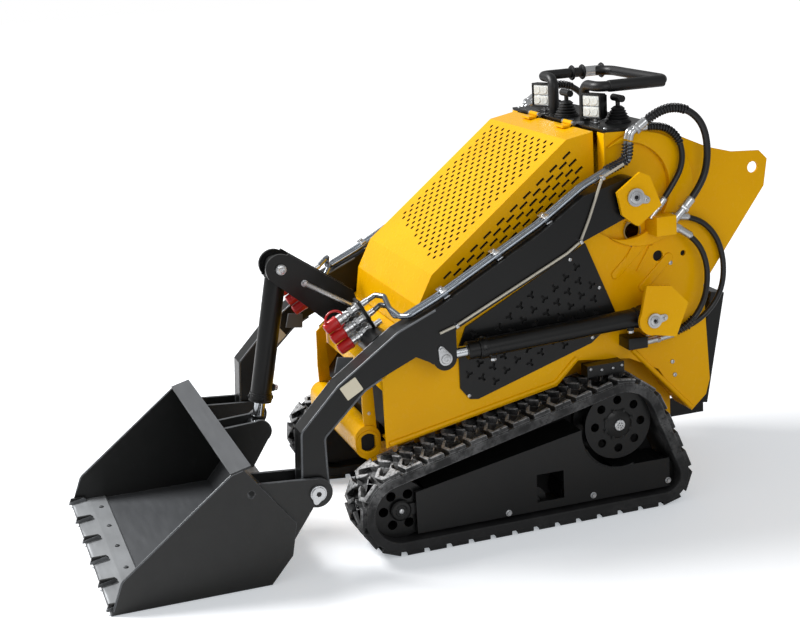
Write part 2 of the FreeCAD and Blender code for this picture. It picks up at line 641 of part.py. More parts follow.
def inside_outline(outline, spot, margin):
    """Whether a point lies inside an outline and at least a margin from its edges."""
    face = Part.Face(Part.makePolygon([Vector(*corner, 0) for corner in outline + outline[:1]]))
    edge = face.OuterWire.distToShape(Part.Vertex(*spot, 0))[0]
    return edge > margin and face.isInside(Vector(*spot, 0), 0.01, True)


# The black side door, its outline in Y and Z
DOOR = [("deck_nose_y + 134", "590"), ("deck_nose_y + 134", "462"), ("deck_nose_y + 162", "425"),
        ("deck_nose_y + 190", "421"), ("470", "541"), ("560", "610"), ("457", "deck_bend_height - 4"),
        ("420", "835"), ("deck_nose_y + 160", "650")]


def make_door(name, side):
    """A black door screwed outside the side plate, pierced by rows of three-armed openings."""
    body = new_body(f"{name}Panel")
    low_x = mirrored_x("body_half_width", "door_thickness", side)
    add_plate(body, "Door", DOOR, low_x, "door_thickness")
    outline = [(value(y), value(z)) for y, z in DOOR]
    low, depth = value(low_x), value("door_thickness")
    lean = math.radians(value("door_lean"))
    along, across = Vector(0, math.cos(lean), math.sin(lean)), Vector(0, -math.sin(lean), math.cos(lean))
    arm, width = value("door_arm_length"), value("door_arm_width") / 2
    cutters = []
    for row in range(-12, 13):
        for column in range(-10, 14):
            shift = column + (0.5 if row % 2 else 0)
            spot = Vector(0, 250, 600) + along * (shift * value("door_pitch")) + across * (row * value("door_row_pitch"))
            if not inside_outline(outline, (spot.y, spot.z), value("door_margin")):
                continue
            for turn in (90, 210, 330) if row % 2 else (30, 150, 270):
                angle = math.radians(turn) + lean
                way, side_way = Vector(0, math.cos(angle), math.sin(angle)), Vector(0, -math.sin(angle), math.cos(angle))
                corners = [spot - way * width + side_way * width, spot + way * arm + side_way * width,
                           spot + way * arm - side_way * width, spot - way * width - side_way * width]
                points = [corner + Vector(low - 1, 0, 0) for corner in corners]
                cutters.append(Part.Face(Part.makePolygon(points + points[:1])).extrude(Vector(depth + 2, 0, 0)))
    door = doc.addObject("Part::Feature", name)
    door.Shape = body.Shape.cut(cutters[0].multiFuse(cutters[1:]))
    return door


node(group(*[make_door(f"Door{name}", side) for name, side in SIDES]), "side_doors")

belly = cut(
    box("-belly_half_width", "belly_front", "belly_bottom", "2 * belly_half_width",
        "belly_rear - belly_front", "belly_top - belly_bottom"),
    box("-belly_half_width + plate", "belly_front + plate", "belly_bottom + plate",
        "2 * (belly_half_width - plate)", "belly_rear - belly_front - 2 * plate",
        "belly_top - belly_bottom"),
)
node(belly, "belly_box")


def pin_pair(name, y, z, radius, inner_x, outer_x):
    """A pin on each side, with a head outside its outer ear."""
    pins = []
    for side in (1, -1):
        shank = rod_along_x(mirrored_x(inner_x, f"{outer_x} - {inner_x}", side), y, z, radius,
                            f"{outer_x} - {inner_x}")
        head = rod_along_x(mirrored_x(outer_x, "pin_head", side), y, z, f"{radius} + 7", "pin_head")
        pins.append(fuse(shank, head))
    return node(group(*pins), name)


OUTER_EAR = "(outer_ear_inner_x + heavy_plate)"
pin_pair("boom_pins", *PIVOT, "boom_pin_radius", "(body_half_width - plate - 6)", OUTER_EAR)
pin_pair("lift_foot_pins", *LIFT_FOOT, "lift_pin_radius", "(body_half_width - plate - 6)", OUTER_EAR)

stub_reach = f"({FRAME_OUTER_X} - heavy_plate - belly_half_width)"
stubs = [box(mirrored_x("belly_half_width", stub_reach, side), y, "stub_bottom", stub_reach,
             "stub_length", "stub_height")
         for side in (1, -1) for y in ("front_stub_y", "rear_stub_y")]
node(group(*stubs), "track_mounts")

# A sheet across the body: up the front, back under the boom and up to the tower
DECK_LINE = [
    ("body_front", "body_front_top"), ("deck_nose_y", "deck_nose_height"),
    ("deck_bend_y", "deck_bend_height"), ("deck_rise_y", "deck_rise_height"),
    ("tower_front", "tower_front_height"),
]
deck = new_body("deck")
deck_profile = [("body_front", "body_front_top - front_lip")] + DECK_LINE
deck_profile += [(f"{y} + sheet", f"{z} - sheet") for y, z in reversed(DECK_LINE)]
deck_profile += [("body_front + sheet", "body_front_top - front_lip")]
deck_sketch = new_sketch(deck, "Profile")
draw_polygon(deck_sketch, deck_profile)
add_pad(deck, deck_sketch, f"2 * side_inner", midplane=True)
opening = new_sketch(deck, "EngineOpening", role="XY_Plane")
inset = "(hood_half_width - 3 * sheet)"
draw_polygon(opening, [
    (f"-{inset}", "hood_front_bottom_y + 3 * sheet"), (inset, "hood_front_bottom_y + 3 * sheet"),
    (inset, "tower_front + 3 * sheet"), (f"-{inset}", "tower_front + 3 * sheet"),
])
add_pocket(deck, opening, "4 * top_height", "EngineOpeningPocket", midplane=True)
node(deck, "deck")

DECK_SLOPE = "(deck_bend_height - deck_nose_height) / (deck_bend_y - deck_nose_y)"
HOOD_FRONT_BOTTOM = f"deck_nose_height + (hood_front_bottom_y - deck_nose_y) * {DECK_SLOPE} + running_gap"
REAR_SLOPE = "(tower_front_height - deck_rise_height) / (tower_front - deck_rise_y)"
HOOD_REAR_BOTTOM = f"deck_rise_height + (hood_rear - deck_rise_y) * {REAR_SLOPE} + 1.5 * running_gap"

hood = new_body("HoodShell")
hood_sketch = new_sketch(hood, "Profile")
draw_polygon(hood_sketch, [
    ("hood_front_bottom_y", HOOD_FRONT_BOTTOM), ("deck_bend_y", "deck_bend_height + running_gap"),
    ("deck_rise_y", "deck_rise_height + 1.5 * running_gap"), ("hood_rear", HOOD_REAR_BOTTOM),
    ("hood_rear", "top_height"), ("hood_crest_y", "hood_crest_height"),
    ("hood_fold_y", "hood_fold_height"), ("hood_brow_y", "hood_brow_height"),
])
add_pad(hood, hood_sketch, "2 * hood_half_width", midplane=True)
hood_hollow = new_sketch(hood, "Hollow")
draw_polygon(hood_hollow, [
    ("hood_front_bottom_y + sheet", "deck_nose_height - 100"), ("hood_rear + 50", "deck_nose_height - 100"),
    ("hood_rear + 50", "top_height - sheet"), ("hood_crest_y + 0.4 * sheet", "hood_crest_height - sheet"),
    ("hood_fold_y + sheet", "hood_fold_height - 0.4 * sheet"), ("hood_brow_y + sheet", "hood_brow_height"),
])
add_pocket(hood, hood_hollow, "2 * (hood_half_width - sheet)", "HollowPocket", midplane=True)


def grille_cutters():
    """Rods through the hood's slope and bars through its sides, each in staggered rows."""
    fold = Vector(0, value("hood_fold_y"), value("hood_fold_height"))
    crest = Vector(0, value("hood_crest_y"), value("hood_crest_height"))
    along = (crest - fold).normalize()
    out = Vector(0, -along.z, along.y)
    radius, pitch, half = value("grille_hole_radius"), value("grille_pitch_x"), value("grille_half_width")
    cutters, row = [], 0
    distance = value("grille_end")
    while distance > value("grille_start - grille_skew * grille_half_width"):
        x = -half + (pitch / 2 if row % 2 else 0)
        while x <= half + 0.01:
            if distance > value("grille_start") + value("grille_skew") * (half - x):
                cutters.append(Part.makeCylinder(radius, 30, fold + along * distance - out * 15 + Vector(x, 0, 0), out))
            x += pitch
        distance -= value("grille_row_pitch")
        row += 1
    wide, tall, length = value("hood_half_width") + 5, value("slot_width") / 2, value("slot_length") / 2
    slope = value(DECK_SLOPE)
    for row in range(round(value("slot_rows"))):
        depth = value("slot_first_depth") + row * value("slot_row_pitch")
        distance = value("slot_start") + (row % 2) * value("slot_pitch") / 2
        while distance < value("grille_end"):
            spot = fold + along * distance - out * depth
            floor = value("deck_nose_height") + (spot.y - value("deck_nose_y")) * slope
            if spot.z > floor + value("slot_floor_gap") and spot.y < value("hood_rear") - 2 * length:
                corners = [spot - along * length - out * tall, spot + along * length - out * tall,
                           spot + along * length + out * tall, spot - along * length + out * tall]
                points = [corner - Vector(wide, 0, 0) for corner in corners]
                cutters.append(Part.Face(Part.makePolygon(points + points[:1])).extrude(Vector(2 * wide, 0, 0)))
            distance += value("slot_pitch")
    return cutters


HOOD_HINGE = ("hood_rear", "top_height + hood_hinge_rise")
knuckle_x = [mirrored_x("hood_knuckle_x", "hood_knuckle_length", side) for side in (1, -1)]
knuckles = [rod_along_x(x, *HOOD_HINGE, "hood_knuckle_radius", "hood_knuckle_length") for x in knuckle_x]
leaves = [box(x, "hood_rear - hood_leaf_length", "top_height - 0.4 * sheet", "hood_knuckle_length",
              "hood_leaf_length", "hood_leaf_thickness + 0.4 * sheet") for x in knuckle_x]
bores = [rod_along_x(x, *HOOD_HINGE, "hood_pin_radius + slip", "hood_knuckle_length") for x in knuckle_x]
hood_shell = cut(fuse(hood, *knuckles, *leaves), *bores)
doc.recompute()
pierced = doc.addObject("Part::Feature", "PiercedHood")
pierced.Shape = hood_shell.Shape.cut(Part.makeCompound(grille_cutters()))
node(pierced, "hood")
hinges = []
for side in (1, -1):
    pin_x = mirrored_x("hood_knuckle_x - hood_ear_width - 1", "hood_knuckle_length + 2 * hood_ear_width + 2", side)
    hinge = [rod_along_x(pin_x, *HOOD_HINGE, "hood_pin_radius", "hood_knuckle_length + 2 * hood_ear_width + 2")]
    for x in ("hood_knuckle_x - hood_ear_width - 1", "hood_knuckle_x + hood_knuckle_length + 1"):
        ear_x = mirrored_x(x, "hood_ear_width", side)
        hinge.append(rod_along_x(ear_x, *HOOD_HINGE, "hood_knuckle_radius", "hood_ear_width"))
        hinge.append(box(ear_x, "hood_rear", "top_height + plate", "hood_ear_width", "hood_leaf_length",
                         "hood_leaf_thickness"))
    hinges.append(fuse(*hinge))
node(group(*hinges), "hood_hinge")

front_tube = new_body("FrontTube")
for part_name, radius in (("Tube", "front_tube_radius"), ("Bore", "front_tube_bore")):
    rise = "front_tube_rise" if part_name == "Tube" else "(front_tube_rise + 2)"
    low_x, length = "-front_tube_half_width", "2 * front_tube_half_width"
    flat = [(f"front_tube_y - {radius}", f"front_tube_height - {rise}"),
            (f"front_tube_y + {radius}", f"front_tube_height - {rise}"),
            (f"front_tube_y + {radius}", f"front_tube_height + {rise}"),
            (f"front_tube_y - {radius}", f"front_tube_height + {rise}")]
    lobes = [("front_tube_y", f"front_tube_height {sign} {rise}", radius) for sign in "+-"]
    if part_name == "Tube":
        add_plate(front_tube, part_name, flat, low_x, length, lobes=lobes)
    else:
        cut_through(front_tube, part_name, low_x, length, polygons=[flat])
        for index, lobe in enumerate(lobes):
            cut_through(front_tube, f"{part_name}{index}", low_x, length, circles=[lobe])
node(front_tube, "front_cross_tube")

FRONT_LINE = [("body_front + 12", "body_front_top - 28"), ("body_front + 62", "body_front_top - 96"),
              ("front_tube_y + front_tube_radius", "front_tube_height + 55")]
front_panel = new_body("FrontPanel")
front_sketch = new_sketch(front_panel, "Profile")
draw_polygon(front_sketch, FRONT_LINE + [(f"{y} + sheet", z) for y, z in reversed(FRONT_LINE)])
add_pad(front_panel, front_sketch, "2 * side_inner", midplane=True)
keel_x, keel_width = "-belly_half_width", "2 * belly_half_width"
keel_y, keel_bottom = "front_tube_y + front_tube_radius", "front_tube_height - front_tube_rise"
keel = [box(keel_x, keel_y, keel_bottom, keel_width, "sheet", "front_tube_rise + 55"),
        box(keel_x, keel_y, keel_bottom, keel_width, f"belly_front - ({keel_y})", "sheet")]
node(fuse(front_panel, *keel), "front_panel")
uprights = []
for side_name, side in SIDES:
    upright = new_body(f"FrontUpright{side_name}")
    add_plate(upright, "Upright", [
        ("front_tube_y - 8", "front_tube_height + 40"), ("front_tube_y + 30", "front_tube_height + 40"),
        ("body_front - 4", "body_front_top - 44"), ("body_front - 4", "body_front_top + 34"),
        ("body_front - 36", "body_front_top + 8"), ("front_tube_y - 10", "front_tube_height + 110"),
    ], mirrored_x("upright_x", "upright_thickness", side), "upright_thickness")
    uprights.append(cut(upright, front_tube))
node(group(*uprights), "front_uprights")
boxes = [box(mirrored_x("body_half_width", "fender_box_reach", side), "fender_box_front",
             "sprocket_height + sprocket_radius + belt_thickness + lug_height + 5",
             "fender_box_reach", "fender_box_length", "fender_box_height") for _, side in SIDES]
node(group(*boxes), "fender_boxes")

node(box("-engine_width / 2", "engine_front", "engine_bottom", "engine_width", "engine_length",
         "engine_height"), "engine_block")
RAIL_REACH = "(belly_half_width - plate)"
rails = [box(f"-{RAIL_REACH}", y, "engine_bottom - rail_height", f"2 * {RAIL_REACH}", "rail_width",
             "rail_height") for y in ("engine_front + rail_width", "engine_front + engine_length - 2 * rail_width")]
node(group(*rails), "engine_rails")

rear_panel = new_body("rear_panel")
REAR_LINE = [("tower_rear - 5", "top_height - 20"), ("tower_rear + 10", "760"), ("body_rear - 15", "600"),
             ("body_rear - 15", "310")]
rear_sketch = new_sketch(rear_panel, "Profile")
draw_polygon(rear_sketch, REAR_LINE + [(f"{y} - sheet", z) for y, z in reversed(REAR_LINE)])
add_pad(rear_panel, rear_sketch, f"2 * side_inner", midplane=True)
node(rear_panel, "rear_panel")
node(box("-body_half_width", "console_front", "top_height", "2 * body_half_width",
         "tower_rear - console_front", "plate"), "console_top")

# Boom -----------------------------------------------------------------------------------

BUCKET_PIN = ("bucket_pin_y", "bucket_pin_height")
LIFT_LUG = ("lift_lug_y", "lift_lug_height")
ARM_OUTLINE = [
    ("545", "1048"), ("423", "1016"), ("287", "926"), ("-45", "746"), ("-178", "690"),
    ("-367", "559"), ("-487", "435"), ("-497", "260"), ("-412", "252"), ("-414", "409"),
    ("-286", "532"), ("-233", "560"), ("-127", "606"), ("-70", "576"), ("-1", "588"),
    ("0", "670"), ("371", "848"), ("413", "880"), ("590", "948"),
]


def make_arm(name, side):
    """A boxed arm, open between its cheeks where the lift cylinder's eye sits."""
    body = new_body(name)
    low = mirrored_x("arm_inner_x", "arm_thickness", side)
    add_plate(body, "Arm", ARM_OUTLINE, low, "arm_thickness", lobes=[
        (*PIVOT, "boom_end_radius"), (*BUCKET_PIN, "bucket_end_radius"), (*LIFT_LUG, "lift_lug_radius"),
    ])
    cut_through(body, "Bores", low, "arm_thickness", circles=[
        (*PIVOT, "boom_pin_radius + slip"), (*BUCKET_PIN, "bucket_pin_radius + slip"),
    ])
    slot_x = mirrored_x("arm_inner_x + arm_wall", "arm_thickness - 2 * arm_wall", side)
    cut_through(body, "Clevis", slot_x, "arm_thickness - 2 * arm_wall",
                circles=[(*LIFT_LUG, "1.75 * lift_lug_radius")])
    node(body, name)


for side_name, side in (("left", 1), ("right", -1)):
    make_arm(f"boom_arm_{side_name}", side)
node(rod_along_x("-arm_inner_x", "cross_tube_y", "cross_tube_height", "cross_tube_radius",
                 "2 * arm_inner_x"), "boom_cross_tube")

TILT_PIN = ("tilt_pin_y", "tilt_pin_height")
ROD_PIN = ("tilt_rod_pin_y", "tilt_rod_pin_height")
HALF_GAP = "(tilt_ear_gap / 2)"
tilt_brackets = []
for side_name, side in SIDES:
    bracket = new_body(f"TiltBracket{side_name}")
    low = mirrored_x(HALF_GAP, "tilt_ear_thickness", side)
    add_plate(bracket, "Ear", [
        ("-388", "872"), ("-192", "732"), ("-163", "640"), ("-235", "600"), ("-341", "700"),
        ("-455", "800"),
    ], low, "tilt_ear_thickness", lobes=[(*TILT_PIN, "46")])
    cut_through(bracket, "Bores", low, "tilt_ear_thickness", circles=[
        (*TILT_PIN, "tilt_pin_radius + slip"), ("cross_tube_y", "cross_tube_height", "cross_tube_radius"),
    ])
    tilt_brackets.append(bracket)
node(group(*tilt_brackets), "tilt_brackets")
tilt_reach = f"({HALF_GAP} + tilt_ear_thickness + pin_head)"
node(rod_along_x(f"-{tilt_reach}", *TILT_PIN, "tilt_pin_radius", f"2 * {tilt_reach}"), "tilt_pin")

# Bucket ---------------------------------------------------------------------------------

BUCKET_BACK = [("-666", "363"), ("-525", "176"), ("-544", "79"), ("-612", "bucket_ground_gap")]
bucket = new_body("bucket")
shell = new_sketch(bucket, "Shell")
draw_polygon(shell, [("bucket_edge_y", "bucket_ground_gap"), ("bucket_edge_y + 43", "96"), ("-700", "354")]
             + BUCKET_BACK)
add_pad(bucket, shell, "2 * bucket_half_width", midplane=True)
inside = new_sketch(bucket, "Inside")
draw_polygon(inside, [
    ("bucket_tip_y - 60", "bucket_ground_gap + bucket_wall"), ("-616", "bucket_ground_gap + bucket_wall"),
    ("-553", "83"), ("-534", "173"), ("-676", "362"), ("-740", "440"), ("bucket_tip_y - 60", "440"),
])
add_pocket(bucket, inside, "2 * (bucket_half_width - bucket_wall)", "InsidePocket", midplane=True)
OUTER_HITCH = "(arm_inner_x + arm_thickness + 6)"
INNER_HITCH = "(arm_inner_x - 6 - tilt_ear_thickness)"
HITCH = [("-454", "296"), ("-631", "310"), ("-529", "174"), ("-541", "112"), ("-470", "211")]
TILT_HITCH = [("-521", "359"), ("-658", "352"), ("-556", "210"), ("-495", "303")]
for side_name, side in (("Left", 1), ("Right", -1)):
    for place_name, low_x in (("Outer", OUTER_HITCH), ("Inner", INNER_HITCH)):
        low = mirrored_x(low_x, "tilt_ear_thickness", side)
        add_plate(bucket, f"{place_name}{side_name}", HITCH, low, "tilt_ear_thickness",
                  lobes=[(*BUCKET_PIN, "bucket_end_radius")])
        cut_through(bucket, f"{place_name}{side_name}Bore", low, "tilt_ear_thickness",
                    circles=[(*BUCKET_PIN, "bucket_pin_radius + slip")])
    low = mirrored_x(HALF_GAP, "tilt_ear_thickness", side)
    add_plate(bucket, f"Tilt{side_name}", TILT_HITCH, low, "tilt_ear_thickness", lobes=[(*ROD_PIN, "36")])
add_plate(bucket, "Lip", [("-703", "351"), ("-642", "367"), ("-644", "374"), ("-705", "358")],
          "-bucket_half_width", "2 * bucket_half_width")
cut_through(bucket, "SideHole", "bucket_half_width - bucket_wall", "bucket_wall", circles=[("-650", "286", "11")])
cut_through(bucket, "OtherSideHole", "-bucket_half_width", "bucket_wall", circles=[("-650", "286", "11")])
node(bucket, "bucket")
edge_top, edge_half = "bucket_ground_gap + bucket_wall", "(bucket_half_width - bucket_wall)"
cutting_edge = new_body("CuttingEdge")
add_plate(cutting_edge, "Edge", [
    ("bucket_edge_y + 1", edge_top), ("bucket_edge_y + 118", edge_top), ("bucket_edge_y + 112", f"{edge_top} + 7"),
    ("bucket_edge_y + 60", f"{edge_top} + 7"),
], f"-{edge_half}", f"2 * {edge_half}")
teeth = []
for index in range(round(value("tooth_count"))):
    tooth = new_body(f"Tooth{index}")
    tooth_x = f"-{edge_half} + tooth_width / 2 + {index} * (2 * {edge_half} - tooth_width) / (tooth_count - 1)"
    add_plate(tooth, "Blade", [
        ("bucket_tip_y", edge_top), ("bucket_tip_y + 3", f"{edge_top} + 9"),
        ("bucket_tip_y + tooth_length - 8", f"{edge_top} + 19"), ("bucket_tip_y + tooth_length", f"{edge_top} + 12"),
        ("bucket_tip_y + tooth_length", edge_top),
    ], f"{tooth_x} - tooth_thickness / 2", "tooth_thickness")
    teeth.append(tooth)
node(fuse(cutting_edge, *teeth), "cutting_edge")
pin_pair("bucket_pins", *BUCKET_PIN, "bucket_pin_radius", INNER_HITCH, f"({OUTER_HITCH} + tilt_ear_thickness)")

# Cylinders ------------------------------------------------------------------------------


class Stroke:
    """The line from a cylinder's foot pin to its rod's eye, as expressions."""

    def __init__(self, x, foot, eye):
        self.x, self.foot, self.eye = x, foot, eye
        self.run = [f"({there} - {here})" for here, there in zip(foot, eye)]
        self.length = f"sqrt({self.run[0]} ^ 2 + {self.run[1]} ^ 2)"

    def rod(self, start, end, radius):
        """A cylinder along the line between two distances from the foot."""
        item = doc.addObject("Part::Cylinder", "Stroke")
        item.Placement = Placement(Vector(), Rotation(Vector(1, 0, 0), 90))
        bind(item, Radius=radius, Height=f"({end}) - ({start})",
             Placement__Rotation__Angle=f"atan2(-{self.run[0]}; {self.run[1]})")
        y, z = [f"{here} + ({start}) * {run} / {self.length}" for here, run in zip(self.foot, self.run)]
        return place(item, self.x, y, z)

    def eye_at(self, pin, radius, width):
        return rod_along_x(f"{self.x} - {width} / 2", *pin, radius, width)


def make_cylinder(name, stroke, foot_bore, eye_radius, eye_width, barrel_radius, rod_radius,
                  barrel_start, barrel_end, rod_start):
    """A barrel with its foot eye, and a rod with an open eye."""
    bore = f"{barrel_radius} - barrel_wall"
    barrel = fuse(stroke.eye_at(stroke.foot, eye_radius, eye_width),
                  stroke.rod(barrel_start, barrel_end, barrel_radius),
                  stroke.rod(f"{barrel_end} - gland_length", barrel_end, f"{barrel_radius} + gland_lip"))
    barrel = cut(barrel,
                 stroke.eye_at(stroke.foot, f"{foot_bore} + slip", f"2 * {eye_width}"),
                 stroke.rod(f"{rod_start} - 60", f"{barrel_end} - gland_length", bore),
                 stroke.rod(f"{barrel_end} - gland_length - 1", f"{barrel_end} + 1", f"{rod_radius} + slip"))
    node(barrel, f"{name}_barrel")
    shaft = fuse(stroke.rod(rod_start, f"{stroke.length}", rod_radius),
                 stroke.eye_at(stroke.eye, f"0.9 * {eye_radius}", eye_width))
    shaft = cut(shaft, stroke.eye_at(stroke.eye, foot_bore, f"2 * {eye_width}"))
    node(shaft, f"{name}_rod")


for side_name, x in (("left", "cylinder_x"), ("right", "-cylinder_x")):
    make_cylinder(f"lift_{side_name}", Stroke(x, LIFT_FOOT, LIFT_LUG), "lift_pin_radius",
                  "cylinder_eye_radius", "cylinder_eye_width", "lift_barrel_radius",
                  "lift_rod_radius", "lift_barrel_start", "lift_barrel_end", "lift_rod_start")
make_cylinder("tilt", Stroke("0", TILT_PIN, ROD_PIN), "tilt_pin_radius", "tilt_eye_radius",
              "tilt_eye_width", "tilt_barrel_radius", "tilt_rod_radius", "tilt_barrel_start",
              "tilt_barrel_end", "tilt_rod_start")

# Operator's end -------------------------------------------------------------------------

slab = box("-platform_half_width", "0", "0", "2 * platform_half_width", "platform_thickness",
           "platform_length")
pan = box("-platform_half_width + sheet", "0", "0", "2 * (platform_half_width - sheet)", "platform_thickness",
          "platform_length")
for part in (slab, pan):
    part.Placement = Placement(Vector(), Rotation(Vector(-1, 0, 0), 10))
    bind(part, Placement__Rotation__Angle="platform_lean")
place(slab, "-platform_half_width", "platform_hinge_y", "platform_hinge_height")
place(pan, "-platform_half_width + sheet",
      "platform_hinge_y - sheet * cos(platform_lean * 1 deg) + 4 * sheet * sin(platform_lean * 1 deg)",
      "platform_hinge_height + sheet * sin(platform_lean * 1 deg) + 4 * sheet * cos(platform_lean * 1 deg)")
bind(pan, Height="platform_length - 5 * sheet")
PLATFORM_HINGE = ("platform_hinge_y", "platform_hinge_height")
knuckle = rod_along_x("-platform_half_width", *PLATFORM_HINGE, "platform_hinge_radius", "2 * platform_half_width")
platform = cut(fuse(cut(slab, pan), knuckle), rod_along_x("-platform_half_width - 1", *PLATFORM_HINGE,
                                               "platform_pin_radius + slip", "2 * platform_half_width + 2"))
node(platform, "ride_platform")
pin = rod_along_x("-platform_half_width - 18", *PLATFORM_HINGE, "platform_pin_radius",
                  "2 * platform_half_width + 36")
ears = []
for side in (1, -1):
    ears.append(box(mirrored_x("platform_half_width + 6", "heavy_plate", side), "belly_rear",
                    "platform_hinge_height - 30", "heavy_plate", "platform_hinge_y + 22 - belly_rear", "60"))
node(fuse(pin, *ears), "platform_hinge")

handle_parts = []
HANDLE_POINTS = [
    ("handle_leg_x", "handle_leg_y", "top_height + plate"), ("handle_leg_x", "handle_leg_y", "handle_height"),
    ("handle_half_width", "handle_leg_y", "handle_height"), ("handle_half_width", "handle_rear_y", "handle_height"),
    ("-handle_half_width", "handle_rear_y", "handle_height"), ("-handle_half_width", "handle_leg_y", "handle_height"),
    ("-handle_leg_x", "handle_leg_y", "handle_height"), ("-handle_leg_x", "handle_leg_y", "top_height + plate"),
]


def bent_tube(points, radius, bends):
    """A round tube along straight runs joined by tangent arcs, one bend radius for each inner point."""
    edges, start = [], points[0]
    for index in range(1, len(points) - 1):
        corner = points[index]
        before, after = (corner - points[index - 1]).normalize(), (points[index + 1] - corner).normalize()
        turn = before.getAngle(after)
        reach = bends[index - 1] * math.tan(turn / 2)
        entry, leave = corner - before * reach, corner + after * reach
        middle = corner + (after - before).normalize() * (bends[index - 1] / math.cos(turn / 2) - bends[index - 1])
        if (entry - start).Length > 1e-6:
            edges.append(Part.LineSegment(start, entry).toShape())
        edges.append(Part.Arc(entry, middle, leave).toShape())
        start = leave
    edges.append(Part.LineSegment(start, points[-1]).toShape())
    path = Part.Wire(edges)
    ring = Part.Wire(Part.makeCircle(radius, points[0], points[1] - points[0]))
    tube = path.makePipeShell([ring], True, False)
    return tube, path.Length


handle_points = [Vector(*[value(text) for text in point]) for point in HANDLE_POINTS]
bend = value("handle_bend")
tight = value("2 * handle_radius")
tube, handle_length = bent_tube(handle_points, value("handle_radius"), [tight, tight, bend, bend, tight, tight])
handlebar = doc.addObject("Part::Feature", "Handlebar")
handlebar.Shape = tube
node(handlebar, "handlebar")

housings, lenses = [], []
for side in (1, -1):
    low = mirrored_x("lamp_x - lamp_size / 2", "lamp_size", side)
    shell = box(low, "lamp_y", "lamp_height - lamp_size / 2", "lamp_size", "lamp_depth", "lamp_size")
    stalk = box(mirrored_x("lamp_x - 10", "20", side), "lamp_y + 10", "top_height + plate", "20", "20",
                "lamp_height - top_height - plate")
    housings.append(fuse(shell, stalk))
    lenses.append(box(mirrored_x("lamp_x - lamp_size / 2 + 5", "lamp_size - 10", side), "lamp_y - 3",
                      "lamp_height - lamp_size / 2 + 5", "lamp_size - 10", "3", "lamp_size - 10"))
node(group(*housings), "lamp_housings")
node(group(*lenses), "lamp_lenses")

levers = []
for x, y in (("lever_left_x", "lever_left_y"), ("lever_right_x", "lever_right_y")):
    foot = doc.addObject("Part::Cylinder", "LeverFoot")
    bind(foot, Radius="lever_base_radius", Height="10")
    boot = doc.addObject("Part::Cone", "LeverBoot")
    bind(boot, Radius1="lever_base_radius - 5", Radius2="lever_rod_radius + 6", Height="lever_boot_height")
    stick = doc.addObject("Part::Cylinder", "LeverStick")
    bind(stick, Radius="lever_rod_radius", Height="lever_height")
    for piece in (foot, boot, stick):
        place(piece, x, y, "top_height + plate")
    knob = rod_along_x(f"{x} - 30", y, "top_height + plate + lever_height", "11", "60")
    levers.append(fuse(foot, boot, stick, knob))
node(group(*levers), "control_levers")

# Pipes, couplings and hoses -------------------------------------------------------------

PIPE_TOP = [("-95", "741"), ("-45", "762"), ("287", "942"), ("430", "1037"), ("505", "1072"), ("582", "1100"),
            ("587", "1155.4")]
PIPE_BENDS = [10, 30, 30, 60, 60, 40, 40, 22]


def make_tube(name, points, radius, bends):
    """A bent tube as an object of its own, with its length along the line."""
    vectors = [Vector(*[value(number) for number in point]) for point in points]
    shape, length = bent_tube(vectors, value(radius), bends)
    item = doc.addObject("Part::Feature", name)
    item.Shape = shape
    return item, length


pipes = []
for side in (1, -1):
    inner = [("coupler_x + 28", "coupler_y + coupler_length", "coupler_bottom + 118"),
             ("coupler_x + 28", "coupler_y + coupler_length + 16", "coupler_bottom + 118"),
             ("coupler_x + 66", "-165", "758")] + [("pipe_inner_x", y, z) for y, z in PIPE_TOP]
    outer = [("coupler_x + 12", "coupler_y + coupler_length", "coupler_bottom + 84"),
             ("coupler_x + 12", "coupler_y + coupler_length + 16", "coupler_bottom + 84"),
             ("coupler_x + 66", "-182", "728"), ("pipe_outer_x", "-122", "730")]
    outer += [("pipe_outer_x", y, z) for y, z in PIPE_TOP[1:]]
    for label, points in (("Inner", inner), ("Outer", outer)):
        points = [(f"{side} * ({x})", y, z) for x, y, z in points]
        pipes.append(make_tube(f"Pipe{label}", points, "pipe_radius", PIPE_BENDS)[0])
node(group(*pipes), "boom_pipes")

blocks, couplings, caps = [], [], []
for side in (1, -1):
    block = box(mirrored_x("coupler_x", "coupler_width", side), "coupler_y", "coupler_bottom", "coupler_width",
                "coupler_length", "coupler_height")
    arm = box(mirrored_x("coupler_x", "arm_inner_x - coupler_x", side), "coupler_y + 6", "coupler_bottom",
              "arm_inner_x - coupler_x", "coupler_length - 12", "20")
    rods = []
    for index in range(3):
        for reach, radius, start, kept in (("coupling_length", "coupling_radius", "0", rods),
                                           ("cap_length", "cap_radius", "coupling_length", caps)):
            rod = doc.addObject("Part::Cylinder", "Coupling")
            rod.Placement = Placement(Vector(), Rotation(Vector(1, 0, 0), 90))
            bind(rod, Radius=radius, Height=reach)
            place(rod, f"{side} * (coupler_x + coupler_width / 2)", f"coupler_y - {start}",
                  f"coupler_bottom + coupler_height - 20 - {index} * 37")
            kept.append(rod)
    blocks.append(fuse(block, arm, *rods))
node(group(*blocks), "coupler_blocks")
node(group(*caps), "coupler_caps")


